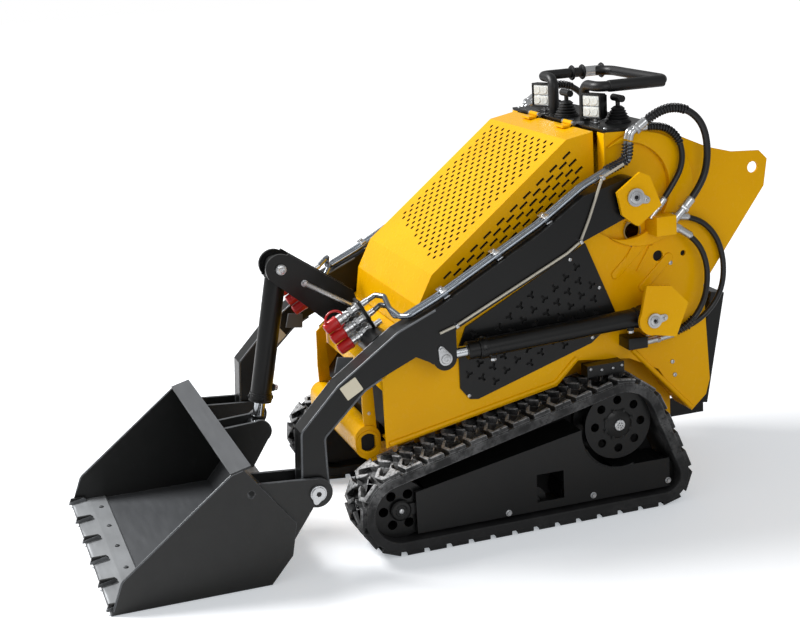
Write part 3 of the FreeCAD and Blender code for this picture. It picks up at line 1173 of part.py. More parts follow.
class Hose:
    """A hose of straight runs joined by tangent arcs, from one fitting to the next."""

    def __init__(self, name, radius, points):
        self.name, self.radius, self.side = name, radius, 1
        self.points = [Vector(*[value(number) for number in point]) for point in points]

    def bends(self):
        """One bend radius for each inner point, from the shorter of its two runs."""
        radii = []
        for before, corner, after in zip(self.points, self.points[1:], self.points[2:]):
            turn = (corner - before).getAngle(after - corner)
            shorter = min((corner - before).Length, (after - corner).Length)
            radii.append(0.45 * shorter / math.tan(turn / 2))
        return radii

    def build(self, side, label):
        points = [Vector(side * point.x, point.y, point.z) for point in self.points]
        bends = self.bends()
        shape, length = bent_tube(points, value(self.radius), bends)
        expected = math.pi * value(self.radius) ** 2 * length
        print(f"{label}: length {length:.0f}, radii {[round(bend) for bend in bends]}, "
              f"volume over section and length {shape.Volume / expected:.4f}")
        item = doc.addObject("Part::Feature", label)
        item.Shape = shape
        return node(item, label)

    def end(self, side, last=True, length=34, radius=12):
        """A fitting that carries the hose's line on past one of its ends."""
        here, there = (self.points[-1], self.points[-2]) if last else (self.points[0], self.points[1])
        way = (here - there).normalize()
        start = Vector(side * here.x, here.y, here.z)
        item = doc.addObject("Part::Feature", "HoseEnd")
        item.Shape = Part.makeCylinder(radius, length, start, Vector(side * way.x, way.y, way.z))
        return item


def route(x, *spots):
    return [(x, y, z) for y, z in spots]


OUTER_HOSE = Hose("outer", "hose_radius", route(
    "pipe_outer_x", ("613", "1196"), ("680", "1243"), ("765", "1244"), ("832", "1191"), ("850", "1096"),
    ("828", "1000"), ("768", "940")))
INNER_HOSE = Hose("inner", "cylinder_hose_radius", route(
    "pipe_inner_x", ("622", "1190"), ("700", "1197"), ("765", "1150"), ("778", "1070"), ("737", "1000"),
    ("690", "945")))
UPPER_HOSE = Hose("upper", "cylinder_hose_radius", route(
    "body_half_width + 19", ("752", "905"), ("820", "898"), ("893", "838"), ("925", "745"), ("915", "645"),
    ("850", "570"), ("755", "538"), ("680", "535")))
LOWER_HOSE = Hose("lower", "cylinder_hose_radius", route(
    "body_half_width + 47", ("752", "872"), ("808", "835"), ("846", "763"), ("850", "680"), ("822", "602"),
    ("755", "545"), ("680", "537")))

fittings = []
for side_name, side in SIDES:
    OUTER_HOSE.build(side, f"hose_outer_{side_name}")
    INNER_HOSE.build(side, f"hose_inner_{side_name}")
    for x, hose, bends in (("pipe_outer_x", OUTER_HOSE, 14), ("pipe_inner_x", INNER_HOSE, 14)):
        first, second = hose.points[0], hose.points[1]
        back = (first - second).normalize() * 26
        corner = first + back
        start = Vector(first.x, 587.5, 1161)
        elbow = [Vector(side * point.x, point.y, point.z) for point in (start, corner, first)]
        item = doc.addObject("Part::Feature", "Elbow")
        item.Shape = bent_tube(elbow, 9, [bends])[0]
        fittings.append(item)
    manifold = box(mirrored_x("body_half_width - recess_depth", "75", side), "664", "862", "75", "66", "58")
    ends = [OUTER_HOSE.end(side, length=62), INNER_HOSE.end(side, length=44)]
    if side > 0:
        ends += [UPPER_HOSE.end(side, last=False), LOWER_HOSE.end(side, last=False)]
    fittings.append(fuse(manifold, *ends))
UPPER_HOSE.build(1, "hose_upper_left")
LOWER_HOSE.build(1, "hose_lower_left")
port = box("body_half_width", "port_block_y", "port_block_height - 22", "66", "port_block_size + 30", "port_block_size")
fittings.append(fuse(port, UPPER_HOSE.end(1, length=60), LOWER_HOSE.end(1, length=60)))
node(group(*fittings), "hose_fittings")

# Check and write ------------------------------------------------------------------------

doc.recompute()
failed = [item.Label for item in doc.Objects if "Invalid" in item.State or "Error" in item.State]
if failed:
    raise RuntimeError(f"failed objects: {failed}")
os.makedirs("parts", exist_ok=True)
for item in NODES:
    if item.Shape.isNull() or not item.Shape.isValid():
        raise RuntimeError(f"bad shape: {item.Label}")
    item.Shape.exportStep(os.path.join("parts", f"{item.Label}.step"))
    bounds = item.Shape.BoundBox
    print(f"{item.Label:24s} solids {len(item.Shape.Solids)} volume {item.Shape.Volume / 1e6:8.3f} l"
          f"  y {bounds.YMin:7.1f} {bounds.YMax:7.1f}  z {bounds.ZMin:7.1f} {bounds.ZMax:7.1f}")
print(len(NODES), "sub-parts")
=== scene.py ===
"""The looks of a compact track loader: finishes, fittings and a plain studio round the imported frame."""

import json
import logging
import math
from dataclasses import dataclass
from enum import Enum
from typing import Any, Sequence

import bmesh
import bpy
from mathutils import Matrix, Vector


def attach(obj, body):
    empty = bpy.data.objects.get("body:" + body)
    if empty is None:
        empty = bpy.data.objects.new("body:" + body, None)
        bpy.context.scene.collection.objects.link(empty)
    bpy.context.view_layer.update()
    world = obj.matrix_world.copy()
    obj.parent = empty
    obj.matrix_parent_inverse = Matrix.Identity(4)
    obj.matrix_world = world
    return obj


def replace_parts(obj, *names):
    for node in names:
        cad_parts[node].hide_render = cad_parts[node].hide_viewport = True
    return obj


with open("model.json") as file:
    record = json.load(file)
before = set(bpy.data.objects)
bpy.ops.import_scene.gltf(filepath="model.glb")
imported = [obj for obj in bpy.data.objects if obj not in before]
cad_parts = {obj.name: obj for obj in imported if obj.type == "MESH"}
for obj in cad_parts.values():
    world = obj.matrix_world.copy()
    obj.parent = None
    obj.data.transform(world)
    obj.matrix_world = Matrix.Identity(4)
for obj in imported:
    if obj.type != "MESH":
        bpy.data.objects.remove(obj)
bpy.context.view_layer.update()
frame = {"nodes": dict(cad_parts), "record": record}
LOG = logging.getLogger("track_loader")

# Lengths are in metres and angles in degrees, unless a name says otherwise.
SUNK = 0.0005  # How far a fitting's foot goes under the face it sits on.
GUARD_WIRE = 0.0032  # The radius of a spiral guard's wire.
GUARD_PITCH = 0.0098
TURN_POINTS = 10  # The points on one turn of a spiral guard.
CORNER_POINTS = 4
SCREW = 0.0065  # The radius of a panel screw's head.
BUTTON = ((0.0, 0.1), (0.35, 0.1), (0.42, 0.55), (0.8, 0.42), (1.0, 0.08))  # Such a head, as shares of its radius.
FOOT_PIN = (0.628, 0.615)  # The pins of the lift and tilt cylinders, as Y and Z.
LIFT_PIN = (-0.037, 0.588)
TILT_PIN = (-0.416, 0.828)
TILT_HEAD_PIN = (-0.521, 0.325)
REARWARD = (0.0, 1.0, 0.0)

Pair = tuple[float, float]
Place = tuple[float, float, float]
Path = tuple[Pair, ...]
Row = tuple[float, ...]
Stations = list[tuple[float, Vector, Vector]]
Colour = tuple[float, float, float, float]
Material = bpy.types.Material


class Body(Enum):
    """The moving groups of the loader."""

    CHASSIS = "chassis"
    BOOM = "boom"
    BUCKET = "bucket"
    HOOD = "hood"
    PLATFORM = "ride_platform"
    LIFT_LEFT_BARREL = "lift_left_barrel"
    LIFT_LEFT_ROD = "lift_left_rod"
    LIFT_RIGHT_BARREL = "lift_right_barrel"
    LIFT_RIGHT_ROD = "lift_right_rod"
    TILT_BARREL = "tilt_barrel"
    TILT_ROD = "tilt_rod"


# Shader kit ---------------------------------------------------------------------------------------


class Wire:
    """A socket of a node tree that can be written into sums."""

    def __init__(self, shader: "Shader", socket: bpy.types.NodeSocket) -> None:
        """Keeps the socket and the shader it belongs to."""
        self.shader, self.socket = shader, socket

    def _math(self, operation: str, first: Any, second: Any = 0.0, clamp: bool = False) -> "Wire":
        """Adds a Math node."""
        return self.shader.node("ShaderNodeMath", {"operation": operation, "use_clamp": clamp}, {0: first, 1: second})

    def __add__(self, other: Any) -> "Wire":
        """Self plus other."""
        return self._math("ADD", self, other)

    __radd__ = __add__

    def __sub__(self, other: Any) -> "Wire":
        """Self minus other."""
        return self._math("SUBTRACT", self, other)

    def __rsub__(self, other: Any) -> "Wire":
        """Other minus self."""
        return self._math("SUBTRACT", other, self)

    def __mul__(self, other: Any) -> "Wire":
        """Self times other."""
        return self._math("MULTIPLY", self, other)

    __rmul__ = __mul__

    def most(self, other: Any) -> "Wire":
        """The greater of self and other."""
        return self._math("MAXIMUM", self, other)

    def above(self, edge: float, width: float) -> "Wire":
        """A soft step: 0 below the edge, 1 a width above it."""
        return self._math("MULTIPLY", self - edge, 1.0 / width, clamp=True)


class Shader:
    """A material or a world whose node tree is written as expressions."""

    def __init__(self, name: str, world: bpy.types.World | None = None) -> None:
        """Makes an empty node material, or empties a world's nodes.

        Args:
            name: The material's name.
            world: The world to write, if it isn't a material.
        """
        self.owner = world or bpy.data.materials.new(name)
        self.owner.use_nodes = True
        self.tree = self.owner.node_tree
        self.tree.nodes.clear()
        self.coordinates = self.node("ShaderNodeTexCoord", outlet="Object")

    def node(
            self, kind: str, settings: dict[str, Any] | None = None, inputs: dict[Any, Any] | None = None,
            outlet: Any = 0) -> Wire:
        """Adds one node.

        Args:
            kind: The node's type.
            settings: Its settings, and a ramp's stops as (place, colour) pairs.
            inputs: Values or wires by socket name or number.
            outlet: The output socket wanted.

        Returns:
            The output's wire.
        """
        item = self.tree.nodes.new(kind)
        for key, setting in (settings or {}).items():
            if key == "stops":
                ramp = item.color_ramp.elements
                while len(ramp) < len(setting):
                    ramp.new(0.5)
                for stop, (place, colour) in zip(ramp, setting):
                    stop.position, stop.color = place, colour
            else:
                setattr(item, key, setting)
        for key, given in (inputs or {}).items():
            if isinstance(given, Wire):
                self.tree.links.new(given.socket, item.inputs[key])
            else:
                item.inputs[key].default_value = given
        return Wire(self, item.outputs[outlet])

    def noise(
            self, scale: float, detail: float = 3.0, rough: float = 0.55,
            stretch: Sequence[float] = (1.0, 1.0, 1.0)) -> Wire:
        """Fractal noise on the piece's own coordinates.

        Args:
            scale: Its scale, per metre.
            detail: The number of its octaves.
            rough: How strong the fine octaves are.
            stretch: Its scale along each axis.

        Returns:
            The noise's wire, about 0 to 1.
        """
        vector = self.coordinates
        if tuple(stretch) != (1.0, 1.0, 1.0):
            vector = self.node("ShaderNodeMapping", inputs={"Vector": vector, "Scale": stretch})
        return self.node(
            "ShaderNodeTexNoise", inputs={"Vector": vector, "Scale": scale, "Detail": detail, "Roughness": rough})

    def mix(self, factor: Any, first: Any, second: Any) -> Wire:
        """Mixes two colours."""
        return self.node("ShaderNodeMix", {"data_type": "RGBA"}, {0: factor, 6: first, 7: second}, outlet=2)

    def edges(self, radius: float) -> Wire:
        """A mask that is high near the sharp edges of a piece.

        Args:
            radius: How far from an edge it reaches, in metres.

        Returns:
            The mask's wire.
        """
        soft = self.node("ShaderNodeBevel", {"samples": 4}, {"Radius": radius})
        flat = self.node("ShaderNodeNewGeometry", outlet="Normal")
        alike = self.node("ShaderNodeVectorMath", {"operation": "DOT_PRODUCT"}, {0: soft, 1: flat}, outlet="Value")
        return (1.0 - alike).above(0.02, 0.25)

    def upward(self) -> Wire:
        """How far a surface faces up: 1 on a floor, 0 on a wall."""
        return self.node(
            "ShaderNodeSeparateXYZ", inputs={0: self.node("ShaderNodeNewGeometry", outlet="Normal")}, outlet="Z")

    def bump(self, height: Wire, distance: float, strength: float, radius: float = 0.0) -> Wire:
        """Relief from a height, over softly rounded edges.

        Args:
            height: The height's wire.
            distance: The height of 1, in metres.
            strength: How strongly it shows.
            radius: The radius that sharp edges show, in metres.

        Returns:
            The normal's wire.
        """
        inputs: dict[str, Any] = {"Height": height, "Distance": distance, "Strength": strength}
        if radius:
            inputs["Normal"] = self.node("ShaderNodeBevel", {"samples": 4}, {"Radius": radius})
        return self.node("ShaderNodeBump", inputs=inputs)

    def surface(self, **sockets: Any) -> Material:
        """Ends the tree in a Principled surface."""
        inputs = {name.replace("_", " "): given for name, given in sockets.items()}
        return self.close(self.node("ShaderNodeBsdfPrincipled", inputs=inputs))

    def close(self, shell: Wire, end: str = "ShaderNodeOutputMaterial") -> Material:
        """Joins the last surface to the tree's output."""
        self.tree.links.new(shell.socket, self.tree.nodes.new(end).inputs["Surface"])
        return self.owner


def hex_colour(text: str) -> Colour:
    """A linear colour from six hexadecimal digits.

    Args:
        text: Red, green and blue, two digits each.

    Returns:
        The linear colour with full alpha.
    """
    parts = [int(text[index:index + 2], 16) / 255 for index in (0, 2, 4)]
    linear = [part / 12.92 if part <= 0.04045 else ((part + 0.055) / 1.055) ** 2.4 for part in parts]
    return (*linear, 1.0)


# Finishes -----------------------------------------------------------------------------------------


@dataclass(frozen=True)
class Enamel:
    """Sprayed paint on plate, a little uneven, dusty and worn on its edges."""

    name: str
    colour: str
    shade: str
    worn: str
    wear: float = 0.3
    rough: float = 0.3
    coat: float = 0.4
    dust: float = 0.1
    dust_colour: str = "8A8478"
    orange_peel: float = 0.00008
    metallic: float = 0.0
    edge: float = 0.0022
    radius: float = 0.0015
    gloss: float = 0.3

    def build(self) -> Material:
        """Builds the material.

        Returns:
            The paint as a node material.
        """
        shader = Shader(self.name)
        broad = shader.noise(2.3, 2.0)
        fine = shader.noise(38.0, 4.0, 0.6)
        grain = shader.noise(420.0, 2.0)
        colour = shader.mix(broad.above(0.35, 0.4), hex_colour(self.colour), hex_colour(self.shade))
        edge = shader.edges(self.edge)
        chips = (edge * fine.above(0.42, 0.2)) * self.wear
        colour = shader.mix(chips, colour, hex_colour(self.worn))
        up = shader.upward()
        settled = up.above(0.2, 0.8) * fine.above(0.3, 0.5) * self.dust + broad.above(0.5, 0.4) * (self.dust * 0.4)
        colour = shader.mix(settled, colour, hex_colour(self.dust_colour))
        rough = (fine - 0.5) * 0.16 + chips * 0.25 + settled * 0.8 + self.rough
        return shader.surface(
            Base_Color=colour, Roughness=rough, Metallic=chips * 0.3 + self.metallic, Coat_Weight=self.coat,
            Coat_Roughness=0.12, Specular_IOR_Level=self.gloss,
            Normal=shader.bump(grain, self.orange_peel, 0.5, self.radius))


@dataclass(frozen=True)
class Rubber:
    """Moulded rubber with dusty, scuffed high spots."""

    name: str
    colour: str = "17181A"
    dusty: str = "5A5C5E"
    dust: float = 0.6
    rough: float = 0.62

    def build(self) -> Material:
        """Builds the material.

        Returns:
            The rubber as a node material.
        """
        shader = Shader(self.name)
        cloud = shader.noise(9.0, 4.0, 0.6)
        fine = shader.noise(120.0, 3.0, 0.7)
        edge = shader.edges(0.004)
        dust = (edge * 0.8 + cloud.above(0.52, 0.3) * 0.35) * fine.above(0.35, 0.3) * self.dust
        colour = shader.mix(dust, hex_colour(self.colour), hex_colour(self.dusty))
        rough = (cloud - 0.5) * 0.2 + dust * 0.3 + self.rough
        return shader.surface(Base_Color=colour, Roughness=rough, Normal=shader.bump(fine, 0.0003, 0.5, 0.0015))


@dataclass(frozen=True)
class TreadRubber:
    """Track rubber whose blocks turn pale in patches, more towards the top and on the blocks that climb over the
    front; the pale marks are partly dust and partly painted highlight, most on the block edges.
    """

    name: str
    colour: str = "0E0F11"
    dusty: str = "C9CACB"
    front: float = 0.10
    fade: float = 0.34
    rough: float = 0.7
    caked_tops: float = 0.0

    def build(self) -> Material:
        """Builds the material.

        Returns:
            The rubber as a node material.
        """
        shader = Shader(self.name)
        cloud = shader.noise(11.0, 4.0, 0.6)
        fine = shader.noise(90.0, 4.0, 0.7)
        edge = shader.edges(0.006)
        split = {0: shader.coordinates}
        along = shader.node("ShaderNodeSeparateXYZ", inputs=split, outlet="Y")
        height = shader.node("ShaderNodeSeparateXYZ", inputs=split, outlet="Z")
        upper = height.above(0.10, 0.16)
        upper_front_share = (self.front - along).above(0.0, self.fade) * upper * 0.55 + upper * 0.38 + 0.07
        # Pale patches: partly dust, partly painted highlight on the block edges, more towards the top and over the
        # front.
        dust_and_highlight = (edge * 0.5 + cloud.above(0.42, 0.25) * 0.35 + self.caked_tops) * fine.above(0.33, 0.2) * upper_front_share
        colour = shader.mix(dust_and_highlight, hex_colour(self.colour), hex_colour(self.dusty))
        rough = (cloud - 0.5) * 0.2 + dust_and_highlight * 0.2 + self.rough
        return shader.surface(Base_Color=colour, Roughness=rough, Normal=shader.bump(fine, 0.0006, 0.6, 0.002))


@dataclass(frozen=True)
class BareMetal:
    """Plated, turned or chromed metal."""

    name: str
    colour: str = "C9CBCD"
    stain: str = "7C7A76"
    rough: float = 0.28
    stained: float = 0.3
    brushed: Sequence[float] = (1.0, 1.0, 1.0)

    def build(self) -> Material:
        """Builds the material.

        Returns:
            The metal as a node material.
        """
        shader = Shader(self.name)
        cloud = shader.noise(25.0, 3.0)
        fine = shader.noise(260.0, 3.0, 0.6, self.brushed)
        stain = cloud.above(0.5, 0.25) * self.stained
        colour = shader.mix(stain, hex_colour(self.colour), hex_colour(self.stain))
        rough = (fine - 0.5) * 0.2 + stain * 0.3 + self.rough
        return shader.surface(
            Base_Color=colour, Roughness=rough, Metallic=1.0 - stain * 0.3,
            Normal=shader.bump(fine, 0.0001, 0.4, 0.0008))


@dataclass(frozen=True)
class WornSteel:
    """Dark painted digging steel, rubbed pale on its edges and floor."""

    name: str
    colour: str = "141516"
    worn: str = "7D8084"
    rough: float = 0.42
    shade: str = "1C1D1B"

    def build(self) -> Material:
        """Builds the material.

        Returns:
            The steel as a node material.
        """
        shader = Shader(self.name)
        cloud = shader.noise(5.0, 5.0, 0.6)
        streaks = shader.noise(30.0, 4.0, 0.6, (0.25, 1.6, 1.0))
        fine = shader.noise(300.0, 2.0)
        edge = shader.edges(0.005)
        up = shader.upward()
        polished = up.above(0.35, 0.5) * (streaks * 0.12 + 0.36)
        scuffs = streaks.above(0.58, 0.2) * cloud.above(0.45, 0.3) * 0.12
        rubbed = edge * streaks.above(0.38, 0.2) * 0.6 + polished + scuffs
        colour = shader.mix(cloud.above(0.3, 0.5), hex_colour(self.colour), hex_colour(self.shade))
        colour = shader.mix(rubbed, colour, hex_colour(self.worn))
        rough = (streaks - 0.5) * 0.25 + rubbed * 0.1 + self.rough
        return shader.surface(
            Base_Color=colour, Roughness=rough, Metallic=rubbed * 0.6 + 0.1,
            Normal=shader.bump(streaks + fine * 0.3, 0.0006, 0.35, 0.002))


@dataclass(frozen=True)
class Lens:
    """A lamp's glass over its bright bowl."""

    name: str

    def build(self) -> Material:
        """Builds the material.

        Returns:
            The lens as a node material.
        """
        shader = Shader(self.name)
        ribs = shader.node(
            "ShaderNodeTexVoronoi", {"feature": "F1"}, {"Vector": shader.coordinates, "Scale": 55.0},
            outlet="Distance")
        colour = shader.mix(ribs.above(0.2, 0.3), hex_colour("DCE0E2"), hex_colour("8D9296"))
        return shader.surface(
            Base_Color=colour, Roughness=(ribs * 0.2) + 0.12, Metallic=0.35, Coat_Weight=1.0,
            Normal=shader.bump(ribs, 0.001, 0.6))


FINISHES: dict[str, Any] = {
    "yellow_paint": Enamel("amber_enamel", "F0B400", "E6A600", "ECC65A", wear=0.35, rough=0.26, coat=0.02,
                           dust=0.02, dust_colour="D8A830", gloss=0.13),
    "black_paint": Enamel("black_enamel", "08090A", "0D0E0E", "55585A", wear=0.5, rough=0.34, coat=0.1, dust=0.12,
                          dust_colour="2A2A26"),
    "bucket_paint": WornSteel("bucket_steel"),
    "rubber": TreadRubber("track_rubber"),
    "zinc": BareMetal("zinc_plate"),
    "rod_chrome": BareMetal("rod_chrome", "D5DADF", "9A9FA4", rough=0.12, stained=0.1),
    "engine_metal": BareMetal("engine_metal", "5B5E60", "3B3A38", rough=0.5, stained=0.6),
    "lamp_glass": Lens("lamp_glass"),
    "grip": Rubber("grip_rubber", "0C0D0F", "303236", dust=0.2, rough=0.45),
    "hose_rubber": Rubber("hose_rubber", "0B0C0E", "2C2E31", dust=0.25, rough=0.36),
    "red_plastic": Enamel("red_plastic", "C01A1C", "A81618", "D86A60", wear=0.2, rough=0.35, coat=0.3, dust=0.05),
    "edge_steel": WornSteel("edge_steel", "76797C", "C4C7CA", 0.38),
}
EXTRAS: dict[str, Any] = {
    "caked_rubber": TreadRubber("caked_rubber", caked_tops=0.75),
    # dark_void is painted shade: a near-black finish for sheets and discs set where there is only shade.
    "dark_void": Rubber("dark_void", "050506", "101113", dust=0.2, rough=0.8),
    "spiral_guard": Rubber("spiral_guard", "141518", "8E9296", dust=0.35, rough=0.22),
    "cast_plate": Enamel("cast_plate", "A08A55", "8E7A4C", "C9BFA0", wear=0.5, rough=0.45, coat=0.0, dust=0.1),
    # worn_edge: grey paint with pale worn edges; on the boom's edge rims it is partly wear and partly painted
    # highlight.
    "worn_edge": Enamel("worn_edge", "63666A", "4E5154", "B4B6B8", wear=0.8, rough=0.4, coat=0.1, dust=0.05,
                        metallic=0.2),
    "cream_pipe": Enamel("cream_pipe", "B9B4A6", "A8A396", "D8D4C8", wear=0.4, rough=0.35, coat=0.2, dust=0.05,
                         metallic=0.3),
    "cream_label": Enamel("cream_label", "D9D2BC", "CFC7B0", "E8E4D8", wear=0.3, rough=0.4, coat=0.2, dust=0.1),
    "lamp_bowl": Enamel("lamp_bowl", "E2E5E2", "CFD2CE", "F4F6F4", wear=0.5, rough=0.25, coat=0.8, dust=0.05),
    "pipe_steel": BareMetal("pipe_steel", "8D949C", "5A5F66", rough=0.26, stained=0.4),
}


def dress_frame(record: dict[str, Any]) -> dict[str, Material]:
    """Gives every CAD node its finish.

    Args:
        record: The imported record, whose materials list the slots and whose subparts name each node's slot.

    Returns:
        The materials by slot.
    """
    made = {entry["slot"]: FINISHES[entry["slot"]].build() for entry in record["materials"]}
    made.update({name: finish.build() for name, finish in EXTRAS.items()})
    for entry in record["subparts"]:
        item = frame["nodes"][entry["node"]]
        item.data.materials.clear()
        item.data.materials.append(made[entry["material_slot"]])
        LOG.info("dressed %s in %s", entry["node"], entry["material_slot"])
    return made


# Geometry kit -------------------------------------------------------------------------------------


def shift(x: float, y: float, z: float) -> Matrix:
    """A move without a turn."""
    return Matrix.Translation((x, y, z))


def rise(height: float) -> Matrix:
    """A move along Z."""
    return shift(0.0, 0.0, height)


def spin(turn: float) -> Matrix:
    """A turn about Z."""
    return Matrix.Rotation(math.radians(turn), 4, "Z")


def aimed(place: Sequence[float], axis: Sequence[float]) -> Matrix:
    """A placement whose own Z points along an axis."""
    return Matrix.Translation(Vector(place)) @ Vector(axis).to_track_quat("Z", "Y").to_matrix().to_4x4()


def sideways(side: int, out: float, y: float, z: float, turn: float = 0.0) -> Matrix:
    """A placement on the loader's side: its X runs to the rear, its Y up and its Z outward."""
    axes = Matrix(((0.0, 0.0, float(side)), (1.0, 0.0, 0.0), (0.0, 1.0, 0.0))).to_4x4()
    return shift(side * out, y, z) @ axes @ spin(turn)


def circle_points(
        centre: Sequence[float], radius: float, count: int, start: float = 0.0, sweep: float = 360.0) -> list[Pair]:
    """Points on a circle or an arc.

    Args:
        centre: The circle's centre.
        radius: Its radius.
        count: The number of points.
        start: The first point's angle in degrees.
        sweep: The arc's angle; an arc short of a full turn includes its end.

    Returns:
        The points in order.
    """
    parts = count if abs(sweep) >= 360.0 else count - 1
    angles = [math.radians(start + sweep * index / parts) for index in range(count)]
    return [(centre[0] + radius * math.cos(angle), centre[1] + radius * math.sin(angle)) for angle in angles]


def rounded_box(width: float, height: float, radius: float) -> list[Pair]:
    """The outline of a rectangle with round corners about the origin.

    Args:
        width: Its width.
        height: Its height.
        radius: The radius of its corners.

    Returns:
        The outline's points in order.
    """
    x, y = width / 2 - radius, height / 2 - radius
    points: list[Pair] = []
    for index, centre in enumerate(((x, y), (-x, y), (-x, -y), (x, -y))):
        points += circle_points(centre, radius, CORNER_POINTS, 90.0 * index, 90.0)
    return points


def teardrop(length: float, large: float, small: float) -> list[Pair]:
    """The outline of a keeper that runs from a large round end at the origin to a small one along X."""
    lean = math.degrees(math.acos((large - small) / length))
    return (
        circle_points((0.0, 0.0), large, 14, lean, 360.0 - 2 * lean)
        + circle_points((length, 0.0), small, 7, -lean, 2 * lean))


class Line:
    """A path through space that is read by its length."""

    def __init__(self, points: Sequence[Sequence[float]]) -> None:
        """Measures the path.

        Args:
            points: Its points in order, in metres.
        """
        self.points = [Vector(point) for point in points]
        self.marks = [0.0]
        for first, second in zip(self.points, self.points[1:]):
            self.marks.append(self.marks[-1] + (second - first).length)

    @property
    def length(self) -> float:
        """The path's whole length."""
        return self.marks[-1]

    def at(self, along: float) -> tuple[Vector, Vector]:
        """Reads the path.

        Args:
            along: The distance from its start.

        Returns:
            The point there and the direction onward.
        """
        index = next((step for step, mark in enumerate(self.marks[1:]) if along <= mark), len(self.marks) - 2)
        first, second = self.points[index], self.points[index + 1]
        way = (second - first).normalized()
        return first + way * (along - self.marks[index]), way

    def coil(self, start: float, end: float, parts: float, reach: float) -> list[Vector]:
        """Winds a spiral guard's wire round part of the path.

        Args:
            start: Where it starts along the path.
            end: Where it ends along the path.
            parts: The number of steps, whose last may be left out in part.
            reach: The wire's distance from the path.

        Returns:
            The wire's points.
        """
        points, across, turns = [], Vector((1.0, 0.0, 0.0)), (end - start) / GUARD_PITCH
        for index in range(int(parts) + 1):
            place, ahead = self.at(start + (end - start) * index / parts)
            angle = math.tau * turns * index / parts
            out = across * math.cos(angle) + ahead.cross(across).normalized() * math.sin(angle)
            points.append(place + out * reach)
        return points


def bar(
        name: str, points: Sequence[Sequence[float]], radius: float, sides: int, smooth: bool = False,
        closed: bool = False) -> bpy.types.Curve:
    """A round bar along a path, as a curve.

    Args:
        name: The curve's name.
        points: The path's points.
        radius: The bar's radius.
        sides: The bevel resolution of its round.
        smooth: Whether the points steer a curve, and aren't its corners.
        closed: Whether the path joins its start.

    Returns:
        The curve.
    """
    curve = bpy.data.curves.new(name, "CURVE")
    curve.dimensions, curve.bevel_depth, curve.bevel_resolution = "3D", radius, sides
    curve.use_fill_caps = not closed
    spline = curve.splines.new("NURBS" if smooth else "POLY")
    spline.points.add(len(points) - 1)
    for point, place in zip(spline.points, points):
        point.co = (*place, 1.0)
    if smooth:
        spline.order_u = 3
        spline.use_endpoint_u = not closed
    spline.use_cyclic_u = closed
    return curve


def skin(curve: bpy.types.Curve) -> bpy.types.Mesh:
    """Turns a curve, which is used up, into a mesh.

    Args:
        curve: The curve.

    Returns:
        The mesh.
    """
    holder = bpy.data.objects.new("bar", curve)
    data = bpy.data.meshes.new_from_object(holder)
    bpy.data.objects.remove(holder)
    bpy.data.curves.remove(curve)
    return data


def smooth_corner(points: Sequence[Place]) -> list[Vector]:
    """Points with their corners cut for a bent bar.

    Args:
        points: The bar's corners.

    Returns:
        The steering points of a curve that keeps near the corners.
    """
    corners = [Vector(point) for point in points]
    steered = [corners[0]]
    for before, corner, after in zip(corners, corners[1:], corners[2:]):
        cut = min(0.02, (corner - before).length / 3, (after - corner).length / 3)
        steered += [corner + (before - corner).normalized() * cut, corner,
                    corner + (after - corner).normalized() * cut]
    return steered + [corners[-1]]


def on_side(side: int, out: float, line: Path) -> list[Place]:
    """The points of a line that is drawn in Y and Z, set out from the middle on one side."""
    return [(side * out, y, z) for y, z in line]


